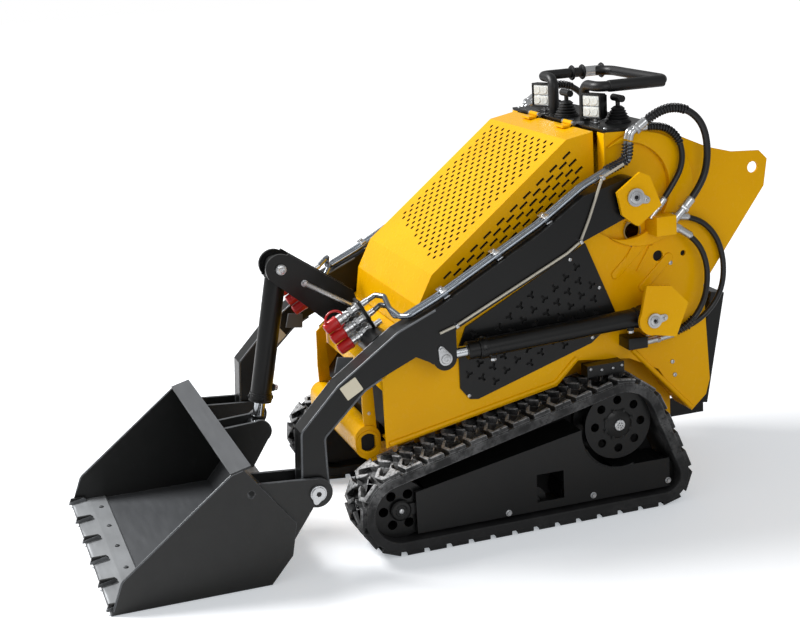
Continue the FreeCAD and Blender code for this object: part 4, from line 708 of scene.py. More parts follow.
class Form:
    """A shape in the making, set out in metres in the loader's own frame."""

    def __init__(self) -> None:
        """Starts with nothing."""
        self.mesh = bmesh.new()

    def take(self, part: bmesh.types.BMesh, placement: Matrix = Matrix.Identity(4)) -> None:
        """Adds a finished part.

        Args:
            part: The part, which is used up.
            placement: Where its own frame lies.
        """
        bmesh.ops.remove_doubles(part, verts=part.verts, dist=1e-6)
        part.transform(placement)
        bmesh.ops.recalc_face_normals(part, faces=part.faces)
        data = bpy.data.meshes.new("part")
        part.to_mesh(data)
        part.free()
        self.mesh.from_mesh(data)
        bpy.data.meshes.remove(data)

    def lathe(self, profile: Sequence[Pair], placement: Matrix, steps: int = 20, closed: bool = False) -> None:
        """Turns a profile about the placement's Z.

        Args:
            profile: Its points as (radius, height).
            placement: Where the axis stands.
            steps: The faces round it.
            closed: Whether the last point joins the first.
        """
        part = bmesh.new()
        points = [part.verts.new((radius, 0.0, height)) for radius, height in profile]
        pairs = list(zip(points, points[1:])) + ([(points[-1], points[0])] if closed else [])
        lines = [part.edges.new(pair) for pair in pairs]
        bmesh.ops.spin(
            part, geom=points + lines, cent=(0.0, 0.0, 0.0), axis=(0.0, 0.0, 1.0), angle=math.tau, steps=steps,
            use_merge=True)
        self.take(part, placement)

    def band(self, profile: Path, radius: float, placement: Matrix, steps: int = 28) -> None:
        """Turns a closed profile whose radii are shares of one radius."""
        self.lathe([(share * radius, height) for share, height in profile], placement, steps, closed=True)

    def prism(
            self, outline: Sequence[Pair], depth: float, placement: Matrix, bevel: float = 0.0, segments: int = 2,
            sunk: float = 0.0) -> None:
        """Raises an outline along the placement's Z."""
        self.take(self.raise_face(outline, depth, bevel, segments, sunk), placement)

    def raise_face(
            self, outline: Sequence[Pair], depth: float, bevel: float, segments: int,
            sunk: float) -> bmesh.types.BMesh:
        """Raises an outline along Z, in a mesh of its own.

        Args:
            outline: Its points in order.
            depth: How far it rises.
            bevel: The round of its upper rim.
            segments: The faces across that round.
            sunk: How far its foot starts under the plane.

        Returns:
            The part.
        """
        part = bmesh.new()
        face = part.faces.new([part.verts.new((x, y, -sunk)) for x, y in outline])
        grown = bmesh.ops.extrude_face_region(part, geom=[face])["geom"]
        raised = [item for item in grown if isinstance(item, bmesh.types.BMVert)]
        bmesh.ops.translate(part, vec=(0.0, 0.0, depth + sunk), verts=raised)
        if bevel:
            rim = [edge for edge in part.edges if min(vertex.co.z for vertex in edge.verts) > depth - 1e-6]
            self.round_edges(part, rim, bevel, segments)
        return part

    @staticmethod
    def round_edges(part: bmesh.types.BMesh, edges: list[bmesh.types.BMEdge], bevel: float, segments: int) -> None:
        """Rounds some edges of a part."""
        bmesh.ops.bevel(
            part, geom=edges, offset=bevel, segments=segments, profile=0.5, affect="EDGES", clamp_overlap=True,
            material=-1)

    def block(self, size: Sequence[float], placement: Matrix, bevel: float = 0.001, segments: int = 2) -> None:
        """A block with rounded edges, centred on the placement.

        Args:
            size: Its length along each axis.
            placement: Where its centre lies.
            bevel: The round of its edges.
            segments: The faces across that round.
        """
        part = bmesh.new()
        bmesh.ops.create_cube(part, size=1.0)
        bmesh.ops.scale(part, vec=size, verts=part.verts)
        self.round_edges(part, list(part.edges), bevel, segments)
        self.take(part, placement)

    def wire(
            self, points: Sequence[Vector], radius: float, sides: int = 2, closed: bool = False,
            smooth: bool = False) -> None:
        """A round bar along a path.

        Args:
            points: The path's points.
            radius: The bar's radius.
            sides: The bevel resolution of its round.
            closed: Whether the path joins its start.
            smooth: Whether the points steer a curve, and aren't its corners.
        """
        data, part = skin(bar("bar", points, radius, sides, smooth, closed)), bmesh.new()
        part.from_mesh(data)
        bpy.data.meshes.remove(data)
        self.take(part)

    def bent(self, points: Sequence[Place], radius: float, sides: int = 2) -> None:
        """A round bar with soft bends at the path's corners."""
        self.wire(smooth_corner(points), radius, sides, smooth=True)

    def hexagon(self, across: float, height: float, placement: Matrix) -> None:
        """A hexagon head, by its width across the flats, whose corners are turned off."""
        radius = across / math.sqrt(3)
        self.lathe(
            [(0.0, -SUNK), (radius, -SUNK), (radius, height * 0.8), (radius * 0.86, height), (0.0, height)],
            placement, steps=6)

    def bolt(self, across: float, placement: Matrix) -> None:
        """A hexagon bolt's head on a round washer.

        Args:
            across: The head's width across the flats.
            placement: Where it sits.
        """
        washer, thick = across * 0.78, across * 0.12
        self.lathe(
            [(0.0, -SUNK), (washer, -SUNK), (washer, thick * 0.6), (washer * 0.95, thick), (0.0, thick)],
            placement, steps=16)
        self.hexagon(across, across * 0.6, placement)

    def dished(self, radii: Sequence[float], heights: Sequence[float], placement: Matrix, steps: int = 24) -> None:
        """Turns a pin's or a cap's head, by its flat middle, its raised ring's two edges and its sunk rim."""
        self.lathe([(0.0, heights[0]), *zip(radii, heights), (radii[3], -0.001), (0.0, -0.001)], placement, steps)

    def label(self, size: Pair, placement: Matrix) -> None:
        """A thin blank plate with round corners."""
        self.prism(rounded_box(*size, 0.003), 0.0012, placement, 0.0004, 1, SUNK)

    def button(self, radius: float, placement: Matrix) -> None:
        """A low round screw head with a socket."""
        head = [(radius * out, radius * height) for out, height in BUTTON]
        self.lathe([*head, (radius, -SUNK), (0.0, -SUNK)], placement, steps=12)

    def ring(self, inner: float, outer: float, height: float, placement: Matrix) -> None:
        """A flat ring with eased corners, by its inner and outer radius."""
        ease = min(height, outer - inner) * 0.3
        self.lathe(
            [(inner, -SUNK), (outer, -SUNK), (outer, height - ease), (outer - ease, height), (inner + ease, height),
             (inner, height - ease)], placement, 28, closed=True)


class Workshop:
    """Turns forms and curves into pieces that ride on the loader's bodies."""

    def __init__(self, finishes: dict[str, Material]) -> None:
        """Keeps the finishes."""
        self.finishes = finishes

    def fit(self, item: bpy.types.Object, body: Body, finish: str) -> bpy.types.Object:
        """Puts a piece in the scene, on its body and in its finish.

        Args:
            item: The new object.
            body: The body it rides on.
            finish: The slot or the extra finish it takes.

        Returns:
            The same object.
        """
        bpy.context.scene.collection.objects.link(item)
        item.data.materials.append(self.finishes[finish])
        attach(item, body.value)
        LOG.info("made %s on %s in %s", item.name, body.value, finish)
        return item

    def make_all(self, body: Body, *pieces: tuple[str, Form, str]) -> None:
        """Makes mesh pieces that ride on one body, each given by its name, its form and its finish."""
        for name, form, finish in pieces:
            self.make(name, form, body, finish)

    def make(self, name: str, form: Form, body: Body, finish: str, soft: float = 32.0) -> bpy.types.Object:
        """Makes a mesh piece of a form.

        Args:
            name: The piece's name.
            form: Its shape, which is used up.
            body: The body it rides on.
            finish: The slot or the extra finish it takes.
            soft: Edges flatter than this angle are shaded smooth.

        Returns:
            The new piece.
        """
        data = bpy.data.meshes.new(name)
        form.mesh.to_mesh(data)
        form.mesh.free()
        data.shade_smooth()
        data.set_sharp_from_angle(angle=math.radians(soft))
        return self.fit(bpy.data.objects.new(name, data), body, finish)


# Studio -------------------------------------------------------------------------------------------


@dataclass
class Studio:
    """A pale floor, soft lights and the camera."""

    place: Place = (4.3957, -1.4483, 1.8491)
    azimuth: float = 72.106
    tilt: float = 14.882
    roll: float = -3.5
    focal_pixels: float = 1506.296
    sensor: float = 36.0
    width_pixels: float = 800.0
    floor_size: float = 60.0
    sky: float = 0.40
    near_glow: Place = (0.31, 0.33, 0.35)
    far_glow: Place = (0.69, 0.69, 0.69)
    key_place: Place = (-2.2, -3.3, 4.6)
    key_power: float = 400.0
    fill_place: Place = (4.8, 0.2, 2.4)
    fill_power: float = 42.0

    def build(self) -> None:
        """Sets the view, the floor, the lights and the camera."""
        bpy.context.scene.view_settings.view_transform = "Standard"
        self.lay_floor()
        self.set_world()
        self.hang_lights()
        self.set_camera()

    def lay_floor(self) -> None:
        """Lays the pale floor just under the tracks."""
        mesh = bmesh.new()
        bmesh.ops.create_grid(mesh, x_segments=1, y_segments=1, size=self.floor_size / 2)
        data = bpy.data.meshes.new("studio_floor")
        mesh.to_mesh(data)
        mesh.free()
        floor = bpy.data.objects.new("studio_floor", data)
        data.transform(rise(-0.001))
        bpy.context.scene.collection.objects.link(floor)
        shader = Shader("floor_paper")
        tint = shader.mix(shader.noise(0.7), hex_colour("F4F4F5"), hex_colour("F0F1F3"))
        paper = shader.node("ShaderNodeBsdfDiffuse", inputs={"Color": tint})
        seen = shader.node("ShaderNodeLightPath", outlet="Is Camera Ray")
        away = shader.node("ShaderNodeVectorMath", {"operation": "LENGTH"}, {0: shader.coordinates}, outlet="Value")
        glow_colour = shader.mix(away.above(1.6, 4.0), (*self.near_glow, 1.0), (*self.far_glow, 1.0))
        glow = shader.node("ShaderNodeEmission", inputs={"Color": glow_colour, "Strength": seen})
        both = shader.node("ShaderNodeAddShader", inputs={0: paper, 1: glow})
        data.materials.append(shader.close(both))

    def set_world(self) -> None:
        """A plain white sky that shows as white and lights at a lower level."""
        world = bpy.data.worlds.new("studio_sky")
        bpy.context.scene.world = world
        sky = Shader(world.name, world)
        seen = sky.node("ShaderNodeLightPath", outlet="Is Camera Ray")
        through = sky.node("ShaderNodeLightPath", outlet="Is Transmission Ray")
        level = sky.node("ShaderNodeMapRange", inputs={"Value": seen.most(through), "To Min": self.sky, "To Max": 1.0})
        back = sky.node("ShaderNodeBackground", inputs={"Color": (1.0, 1.0, 1.0, 1.0), "Strength": level})
        sky.close(back, "ShaderNodeOutputWorld")

    def hang_light(self, name: str, place: Sequence[float], power: float, size: float) -> None:
        """Hangs one square soft lamp that faces the loader.

        Args:
            name: The lamp's name.
            place: Where it hangs, in metres.
            power: Its power in watts.
            size: The length of its sides in metres.
        """
        lamp = bpy.data.lights.new(name, "AREA")
        lamp.energy, lamp.shape, lamp.size = power, "SQUARE", size
        item = bpy.data.objects.new(name, lamp)
        item.location = place
        item.rotation_euler = (Vector((0.0, 0.0, 0.6)) - Vector(place)).to_track_quat("-Z", "Y").to_euler()
        bpy.context.scene.collection.objects.link(item)

    def hang_lights(self) -> None:
        """The key high on the bucket's side, and a fill from behind the camera."""
        self.hang_light("key_lamp", self.key_place, self.key_power, 2.2)
        self.hang_light("fill_lamp", self.fill_place, self.fill_power, 2.5)

    def set_camera(self) -> None:
        """Places the camera."""
        turn, tip, roll = (math.radians(angle) for angle in (self.azimuth, self.tilt, self.roll))
        ahead = Vector((-math.sin(turn) * math.cos(tip), math.cos(turn) * math.cos(tip), -math.sin(tip)))
        right = Vector((math.cos(turn), math.sin(turn), 0.0))
        up = right.cross(ahead)
        tilted_right = right * math.cos(roll) + up * math.sin(roll)
        tilted_up = up * math.cos(roll) - right * math.sin(roll)
        data = bpy.data.cameras.new("studio_camera")
        data.sensor_width = self.sensor
        data.lens = self.focal_pixels * self.sensor / self.width_pixels
        data.clip_end = 200.0
        camera = bpy.data.objects.new("studio_camera", data)
        rotation = Matrix((tilted_right, tilted_up, -ahead)).transposed().to_4x4()
        camera.matrix_world = Matrix.Translation(self.place) @ rotation
        bpy.context.scene.collection.objects.link(camera)
        bpy.context.scene.camera = camera


# Cords --------------------------------------------------------------------------------------------


@dataclass(frozen=True)
class Hose:
    """One free hydraulic hose with its guard and its crimped ends."""

    node: str
    x: float
    radius: float
    length: float
    route: Path
    guards: Path = ()
    ferrule: float = 0.034
    collar: float = 0.0035
    nut: Path = ((0.6, -0.012), (1.42, -0.012), (1.5, -0.010), (1.5, -0.002), (1.42, 0.0), (0.6, 0.0))

    def lay(self, shop: Workshop) -> None:
        """Args:
            shop: The workshop that makes the pieces.
        """
        curve = bar(self.node + "_cord", [(self.x, y, z) for y, z in self.route], self.radius, 5, smooth=True)
        curve.resolution_u = 10
        hose = shop.fit(bpy.data.objects.new(self.node + "_cord", curve), Body.CHASSIS, "hose_rubber")
        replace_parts(hose, self.node)
        line = self.read(hose)
        fitted = [self.crimp(shop, line)]
        fitted += [self.wind(shop, line, number, *span) for number, span in enumerate(self.guards)]

    def read(self, hose: bpy.types.Object) -> Line:
        """Reads the hose's centreline from its own spline.

        Args:
            hose: The hose's curve.

        Returns:
            The centreline.
        """
        bare = hose.data.copy()
        bare.bevel_depth, bare.use_fill_caps = 0.0, False
        data = skin(bare)
        line = Line([vertex.co.copy() for vertex in data.vertices])
        bpy.data.meshes.remove(data)
        return line

    def crimp(self, shop: Workshop, line: Line) -> bpy.types.Object:
        """Makes the crimped ferrules and hexagon nuts at both ends.

        Args:
            shop: The workshop that makes the piece.
            line: The hose's centreline.

        Returns:
            The piece.
        """
        form, outer = Form(), self.radius + self.collar
        ridge, step = self.collar * 0.3, self.ferrule / 8
        profile = [(self.radius * 0.6, 0.0), (outer - ridge, 0.0)]
        for number in range(1, 8):
            profile.append((outer - (0.0 if number % 2 else ridge), number * step))
        profile += [(self.radius + 0.0004, self.ferrule), (self.radius * 0.6, self.ferrule)]
        for along, way in ((0.0, 1.0), (line.length, -1.0)):
            place, ahead = line.at(along)
            form.lathe(profile, aimed(place, ahead * way), 18, closed=True)
            form.band(self.nut, self.radius, aimed(place, ahead * way), 6)
        return shop.make(self.node + "_ferrules", form, Body.CHASSIS, "zinc")

    def wind(self, shop: Workshop, line: Line, number: int, start: float, end: float) -> bpy.types.Object:
        """Winds a spiral guard round part of the hose.

        Args:
            shop: The workshop that makes the piece.
            line: The hose's centreline.
            number: The guard's number.
            start: Where it starts, as a share of the hose's length.
            end: Where it ends, as a share of the hose's length.

        Returns:
            The piece.
        """
        low, high = start * line.length, end * line.length
        parts = int((high - low) / GUARD_PITCH * TURN_POINTS)
        points = line.coil(low, high, parts, self.radius + GUARD_WIRE * 0.35)
        curve = bar(f"{self.node}_guard_{number}", points, GUARD_WIRE, 1)
        return shop.fit(bpy.data.objects.new(curve.name, curve), Body.CHASSIS, "spiral_guard")


HOSES = tuple(
    Hose(f"hose_outer_{side}", sign * 0.402, 0.011, 0.521,
         ((0.613, 1.196), (0.680, 1.243), (0.765, 1.244), (0.832, 1.191), (0.850, 1.096), (0.828, 1.000),
          (0.768, 0.940)), guards=((0.075, 0.34),))
    for side, sign in (("left", 1), ("right", -1))
) + tuple(
    Hose(f"hose_inner_{side}", sign * 0.378, 0.009, 0.383,
         ((0.622, 1.190), (0.700, 1.197), (0.765, 1.150), (0.778, 1.070), (0.737, 1.000), (0.690, 0.945)),
         guards=((0.10, 0.44),))
    for side, sign in (("left", 1), ("right", -1))
) + (
    Hose("hose_upper_left", 0.364, 0.009, 0.626,
         ((0.752, 0.905), (0.820, 0.898), (0.893, 0.838), (0.925, 0.745), (0.915, 0.645), (0.850, 0.570),
          (0.755, 0.538), (0.680, 0.535)), guards=((0.80, 0.935),), ferrule=0.05),
    Hose("hose_lower_left", 0.392, 0.009, 0.471,
         ((0.752, 0.872), (0.808, 0.835), (0.846, 0.763), (0.850, 0.680), (0.822, 0.602), (0.755, 0.545),
          (0.680, 0.537)), guards=((0.72, 0.92),), ferrule=0.05),
)


# Tracks -------------------------------------------------------------------------------------------


@dataclass(frozen=True)
class Tread:
    """The rubber belts with hooked tread blocks, which stand for the plain CAD belts."""

    wheels: tuple[Place, ...] = ((-0.195, 0.134, 0.090), (0.670, 0.096, 0.052), (0.528, 0.283, 0.112))
    belt: float = 0.022
    lug: float = 0.022
    inner_x: float = 0.261
    width: float = 0.180
    pitch: float = 0.072
    arc_step: float = 0.011
    arm: float = 0.0085
    spine: float = 0.015
    reach: float = 0.080
    hook: float = 0.012
    lean: float = 0.010
    edge_gap: float = 0.004
    ease: float = 0.0025
    root: float = 0.003
    shoulder: float = 0.008
    shoulder_width: float = 0.012
    shade_inset: float = 0.031
    shade_x: float = 0.292

    def line(self) -> Stations:
        """Walks the belt's outer face once round.

        Returns:
            Stations of (distance, point, outward direction) in the plane of Y and Z.
        """
        rounds = [(Vector((0.0, y, z)), radius + self.belt) for y, z, radius in self.wheels]
        stations: Stations = []
        along = 0.0
        for index, (centre, radius) in enumerate(rounds):
            before, after = rounds[index - 1], rounds[(index + 1) % len(rounds)]
            start, end = self.touch(before, (centre, radius)), self.touch((centre, radius), after)
            sweep = (end - start) % math.tau
            steps = max(2, int(sweep * radius / self.arc_step))
            for step in range(steps + 1):
                angle = start + sweep * step / steps
                out = Vector((0.0, math.cos(angle), math.sin(angle)))
                point = centre + out * radius
                if stations:
                    along += (point - stations[-1][1]).length
                stations.append((along, point, out))
        first = stations[0]
        stations.append((along + (first[1] - stations[-1][1]).length, first[1], first[2]))
        return stations

    @staticmethod
    def touch(first: tuple[Vector, float], second: tuple[Vector, float]) -> float:
        """Where a belt that runs counter-clockwise leaves one wheel for the next."""
        way = second[0] - first[0]
        return math.atan2(way.z, way.y) - math.acos((first[1] - second[1]) / way.length)

    def build(self, shop: Workshop) -> None:
        """Makes both tracks.

        Args:
            shop: The workshop that makes the pieces.
        """
        stations = self.line()
        for side, name in ((1, "track_left"), (-1, "track_right")):
            form = Form()
            self.lay_belt(form, stations, side)
            count = round(stations[-1][0] / self.pitch)
            for number in range(count):
                for column, phase in ((0, 0.0), (1, 0.5)):
                    self.set_hook(form, stations, (number + phase) * stations[-1][0] / count, column, side)
            piece = shop.make(name + "_tread", form, Body.CHASSIS, "rubber", soft=40.0)
            piece.data.materials.append(shop.finishes["caked_rubber"])
            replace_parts(piece, name)
            self.add_shade_plate(shop, stations, name, side)

    def add_shade_plate(self, shop: Workshop, stations: Stations, name: str, side: int) -> None:
        """Adds a dark plate inside the belt, behind the wheels, as painted shade.

        Args:
            shop: The workshop that makes the piece.
            stations: The belt's stations.
            name: The track's name.
            side: 1 for the left, -1 for the right.
        """
        # A dark sheet inside the belt's loop: painted shade behind the wheels.
        form = Form()
        rim = [(point - out * self.shade_inset).yz for _, point, out in stations[:-1]]
        form.prism([(y, z) for y, z in rim], 0.002, sideways(side, self.shade_x, 0.0, 0.0))
        shop.make(name + "_shade_plate", form, Body.CHASSIS, "dark_void")

    def bend(self, stations: Stations, along: float, height: float) -> Vector:
        """A point over the belt.

        Args:
            stations: The belt's stations.
            along: The distance round the belt.
            height: The height over its outer face.

        Returns:
            The point in the plane of Y and Z.
        """
        along %= stations[-1][0]
        index = next(step for step in range(1, len(stations)) if stations[step][0] >= along)
        first, second = stations[index - 1], stations[index]
        share = (along - first[0]) / max(second[0] - first[0], 1e-9)
        out = first[2].lerp(second[2], share).normalized()
        return first[1].lerp(second[1], share) + out * height

    def lay_belt(self, form: Form, stations: Stations, side: int) -> None:
        """Sweeps the belt's section round its path.

        Args:
            form: The form it is added to.
            stations: The belt's stations.
            side: 1 for the left, -1 for the right.
        """
        low, high, ease, deep = self.inner_x, self.inner_x + self.width, self.ease, -self.belt
        top, wide = self.shoulder, self.shoulder_width
        section = [
            (low, deep + ease), (low + ease, deep), (high - ease, deep), (high, deep + ease), (high, top - ease),
            (high - ease, top), (high - wide + 0.003, top), (high - wide, 0.0), (low + wide, 0.0),
            (low + wide - 0.003, top), (low + ease, top), (low, top - ease)]
        part = bmesh.new()
        rings = []
        for _, point, out in stations[:-1]:
            rings.append([part.verts.new((side * x, *(point + out * height).yz)) for x, height in section])
        for ring, following in zip(rings, rings[1:] + rings[:1]):
            lines = []
            for corners in (ring, following):
                lines += [
                    part.edges.get(pair) or part.edges.new(pair) for pair in zip(corners, corners[1:] + corners[:1])]
            bmesh.ops.bridge_loops(part, edges=lines)
        form.take(part)

    def set_hook(self, form: Form, stations: Stations, along: float, column: int, side: int) -> None:
        """Sets one hooked tread block on the belt.

        Args:
            form: The form it is added to.
            stations: The belt's stations.
            along: Where its middle lies round the belt.
            column: 0 for the outer column and 1 for the inner.
            side: 1 for the left, -1 for the right.
        """
        half, arm, hook, lean, far = self.pitch * 0.37, self.arm, self.hook, self.lean, self.reach
        outline = [
            (-half, 0.0), (half, 0.0), (half + lean, far * 0.55), (half - hook + lean, far * 0.82), (half - hook, far),
            (half - hook - arm, far), (half - hook - arm + lean, far * 0.74), (half - arm + lean * 0.7, far * 0.5),
            (half - arm, self.spine), (arm - half, self.spine), (arm - half + lean, far * 0.6),
            (arm - half - lean * 0.4, far * 0.9), (-half - lean * 0.4, far * 0.9), (lean - half, far * 0.58)]
        part = form.raise_face(outline, self.lug, self.ease, 2, self.root)
        for raised_face in part.faces:
            raised_face.material_index = int(raised_face.calc_center_median().z > self.lug * 0.6)
        edge = self.inner_x + self.width - self.edge_gap
        for vertex in part.verts:
            u, v, height = vertex.co
            across = edge - v if column == 0 else self.inner_x + self.edge_gap + v
            vertex.co = (side * across, *self.bend(stations, along + u, height).yz)
        form.take(part)


@dataclass(frozen=True)
class Undercarriage:
    """Bolts, caps and hubs on the track frames and wheels."""

    frame_face: float = 0.421
    wheel_face: float = 0.409
    sprocket_face: float = 0.399
    sprocket: Pair = (0.528, 0.283)
    idlers: tuple[tuple[Pair, float], ...] = (((-0.195, 0.134), 0.032), ((0.670, 0.096), 0.024))
    roller_first: float = -0.035
    roller_pitch: float = 0.135
    roller_height: float = 0.086
    roller_count: int = 5
    roller_cap: float = 0.017
    frame_bolts: Path = ((0.144, 0.067), (0.428, 0.073), (0.687, 0.076))
    frame_bolt: float = 0.013
    hub: Row = (0.016, 0.019, 0.038, 0.046)
    hub_heights: Row = (0.004, 0.009, 0.007, 0.002)
    hub_bolt: float = 0.010
    hub_bolts: int = 8
    nut: Row = (0.009, 0.010, 0.017, 0.0185)
    nut_heights: Row = (0.004, 0.007, 0.006, 0.002)
    nut_slot: Place = (0.034, 0.0045, 0.003)
    arch: Place = (0.1335, 205.0, 82.0)
    arch_wire: float = 0.0028

    def build(self, shop: Workshop) -> None:
        """Makes the fittings of both undercarriages.

        Args:
            shop: The workshop that makes the pieces.
        """
        bolts, hubs, caps = Form(), Form(), Form()
        for side in (1, -1):
            for y, z in self.frame_bolts:
                bolts.bolt(self.frame_bolt, sideways(side, self.frame_face, y, z, 11.0))
            self.dress_sprocket(bolts, hubs, side)
            rollers = [((self.roller_first + number * self.roller_pitch, self.roller_height), self.roller_cap)
                       for number in range(self.roller_count)]
            for place, radius in (*self.idlers, *rollers):
                self.dress_wheel(caps, bolts, place, radius, side)
        shop.make_all(Body.CHASSIS, ("undercarriage_bolts", bolts, "zinc"), ("sprocket_hubs", hubs, "black_paint"),
                      ("wheel_caps", caps, "black_paint"))

    def dress_sprocket(self, bolts: Form, hubs: Form, side: int) -> None:
        """Adds the stepped hub, its slotted nut and its ring of bolts.

        Args:
            bolts: The form of the bright parts.
            hubs: The form of the painted parts.
            side: 1 for the left, -1 for the right.
        """
        hubs.dished(self.hub, self.hub_heights, sideways(side, self.sprocket_face, *self.sprocket), 28)
        nut = sideways(side, self.sprocket_face, *self.sprocket, 17.0) @ rise(0.009)
        bolts.dished(self.nut, self.nut_heights, nut)
        for turn in (0.0, 60.0, 120.0):
            bolts.block(self.nut_slot, nut @ spin(turn) @ rise(0.0066), 0.0008, 1)
        for y, z in circle_points(self.sprocket, self.hub[-1], self.hub_bolts, 20.0):
            hubs.bolt(self.hub_bolt, sideways(side, self.sprocket_face, y, z, 20.0))
        radius, start, sweep = self.arch
        arc = circle_points(self.sprocket, radius, 16, start, sweep)
        hubs.wire([Vector((side * self.frame_face, *point)) for point in arc], self.arch_wire)

    def dress_wheel(self, caps: Form, bolts: Form, place: Pair, radius: float, side: int) -> None:
        """Adds a wheel's dished cap and its centre screw.

        Args:
            caps: The form of the painted parts.
            bolts: The form of the bright parts.
            place: The axle's Y and Z.
            radius: The cap's radius.
            side: 1 for the left, -1 for the right.
        """
        spot = sideways(side, self.wheel_face, *place, 9.0)
        caps.dished((radius * 0.5, radius * 0.6, radius * 0.85, radius), (0.003, 0.006, 0.005, 0.001), spot)
        bolts.button(radius * 0.28, spot @ rise(0.003))


# Body ---------------------------------------------------------------------------------------------


@dataclass(frozen=True)
class Sides:
    """Screws, raised plates, folds and beads on the two side plates, dark discs deep in their holes and a dark sheet
    behind the doors' cut-outs as painted shade, and the pins of their brackets.
    """

    face: float = 0.345
    bracket_face: float = 0.457
    screws: tuple[tuple[float, float, Path], ...] = (
        (0.351, SCREW, ((0.060, 0.436), (0.472, 0.558), (0.500, 0.712), (0.046, 0.585), (0.405, 0.812))),
        (0.345, 0.008, ((0.757, 0.393), (0.749, 0.437), (0.746, 0.757))),
        (0.391, 0.005, ((0.445, 0.470), (0.482, 0.463), (0.520, 0.463), (0.550, 0.468))))
    port: Pair = (0.617, 0.873)
    port_hole: float = 0.026
    door: Path = (
        (0.038, 0.588), (0.038, 0.464), (0.064, 0.430), (0.092, 0.425), (0.466, 0.544), (0.552, 0.611), (0.455, 0.852),
        (0.420, 0.830), (0.062, 0.648))
    door_shade: float = 0.0006
    recess_floor: float = 0.3425
    recess: tuple[Pair, float] = ((0.647, 1.000), 0.175)
    dish: tuple[Pair, float] = ((0.593, 1.000), 0.148)
    crescent_rise: float = 0.0160
    crescent_slope: float = 0.0125
    fold_width: float = 0.030
    fold_rise: float = 0.0048
    # Dark discs set deep in holes as painted shade, by place and radius.
    plugs: tuple[tuple[Pair, float], ...] = (((0.704, 0.784), 0.024), ((0.791, 0.782), 0.015))
    hole_shade_face: float = 0.3352
    hole_shade_rise: float = 0.0012
    manifold: tuple[Place, Place] = ((0.380, 0.697, 0.891), (0.0764, 0.0674, 0.0594))
    port_block: tuple[Place, Place] = ((0.378, 0.598, 0.535), (0.0674, 0.0654, 0.0354))
    bead: float = 0.0085
    lower_edge: Path = ((-0.198, 0.324), (0.346, 0.430), (0.418, 0.499))
    tail_edge: Path = ((0.610, 0.497), (0.675, 0.425), (0.815, 0.276))
    folds: tuple[tuple[Pair, Pair], ...] = (((0.548, 0.734), (0.686, 0.862)), ((0.640, 0.682), (0.750, 0.785)))
    pins: tuple[tuple[Pair, float, float], ...] = (((0.573, 1.000), 0.020, -18.0), (FOOT_PIN, 0.0165, 8.0))
    pin_face: float = 0.465

    def build(self, shop: Workshop) -> None:
        """Makes the fittings of both sides.

        Args:
            shop: The workshop that makes the pieces.
        """
        screws, washers, keepers, plugs = Form(), Form(), Form(), Form()
        hole_shades, manifolds = Form(), Form()
        for side in (1, -1):
            for face, radius, places in self.screws:
                for y, z in places:
                    screws.button(radius, sideways(side, face, y, z))
            self.add_port(washers, side)
            for pin in self.pins:
                self.add_pin(keepers, plugs, *pin, side)
            # Dark discs deep in the holes: painted shade.
            for (y, z), radius in self.plugs:
                hole_shades.prism(circle_points((0.0, 0.0), radius, 20), self.hole_shade_rise,
                              sideways(side, self.hole_shade_face, y, z), 0.0004, 1)
            for form, (centre, size) in ((manifolds, self.manifold), (plugs, self.port_block)):
                form.block(size, shift(side * centre[0], *centre[1:]), 0.0018, 2)
        self.add_plates(shop)
        shop.make_all(Body.CHASSIS, ("hole_shade_discs", hole_shades, "dark_void"),
                      ("manifold_covers", manifolds, "yellow_paint"), ("side_screws", screws, "zinc"),
                      ("port_washers", washers, "cast_plate"), ("pin_keepers", keepers, "zinc"),
                      ("pin_sockets", plugs, "black_paint"))

    def crescent(self) -> list[Pair]:
        """Works out the crescent between the recess's circle and the dish's.

        Returns:
            Its outline in the plane of Y and Z.
        """
        (centre, wide), (inner, narrow) = self.recess, self.dish
        apart = inner[0] - centre[0]
        meet = (narrow ** 2 - wide ** 2 + apart ** 2) / (2 * -apart)
        outer_angle = math.degrees(math.acos(max(-1.0, min(1.0, (apart + meet) / wide))))
        inner_angle = math.degrees(math.acos(max(-1.0, min(1.0, meet / narrow))))
        return (
            circle_points(centre, wide, 40, -outer_angle, 2 * outer_angle)
            + circle_points(inner, narrow, 36, inner_angle, -2 * inner_angle)[1:-1])

    def add_plates(self, shop: Workshop) -> None:
        """Adds a dark sheet behind the doors' cut-outs as painted shade, the raised crescents, the folds and the edge
        beads.

        Args:
            shop: The workshop that makes the pieces.
        """
        door_shade, raised, crescent = Form(), Form(), self.crescent()
        for side in (1, -1):
            # A dark sheet behind the doors' cut-outs: painted shade.
            door_shade.prism(self.door, self.door_shade, sideways(side, self.face, 0.0, 0.0))
            raised.prism(crescent, self.crescent_rise, sideways(side, self.recess_floor, 0.0, 0.0),
                         self.crescent_slope, 3)
            for line in (self.lower_edge, self.tail_edge):
                raised.bent(on_side(side, self.face - 0.001, line), self.bead, 3)
            for start, end in self.folds:
                way = Vector(end) - Vector(start)
                middle = (Vector(start) + Vector(end)) / 2
                turn = math.degrees(math.atan2(way.y, way.x))
                raised.prism(rounded_box(way.length, self.fold_width, self.fold_width * 0.45), self.fold_rise,
                             sideways(side, self.face, *middle, turn), self.fold_width * 0.36, 3)
        shop.make("door_shade_sheet", door_shade, Body.CHASSIS, "dark_void")
        shop.make("side_plate_forms", raised, Body.CHASSIS, "yellow_paint", soft=50.0)

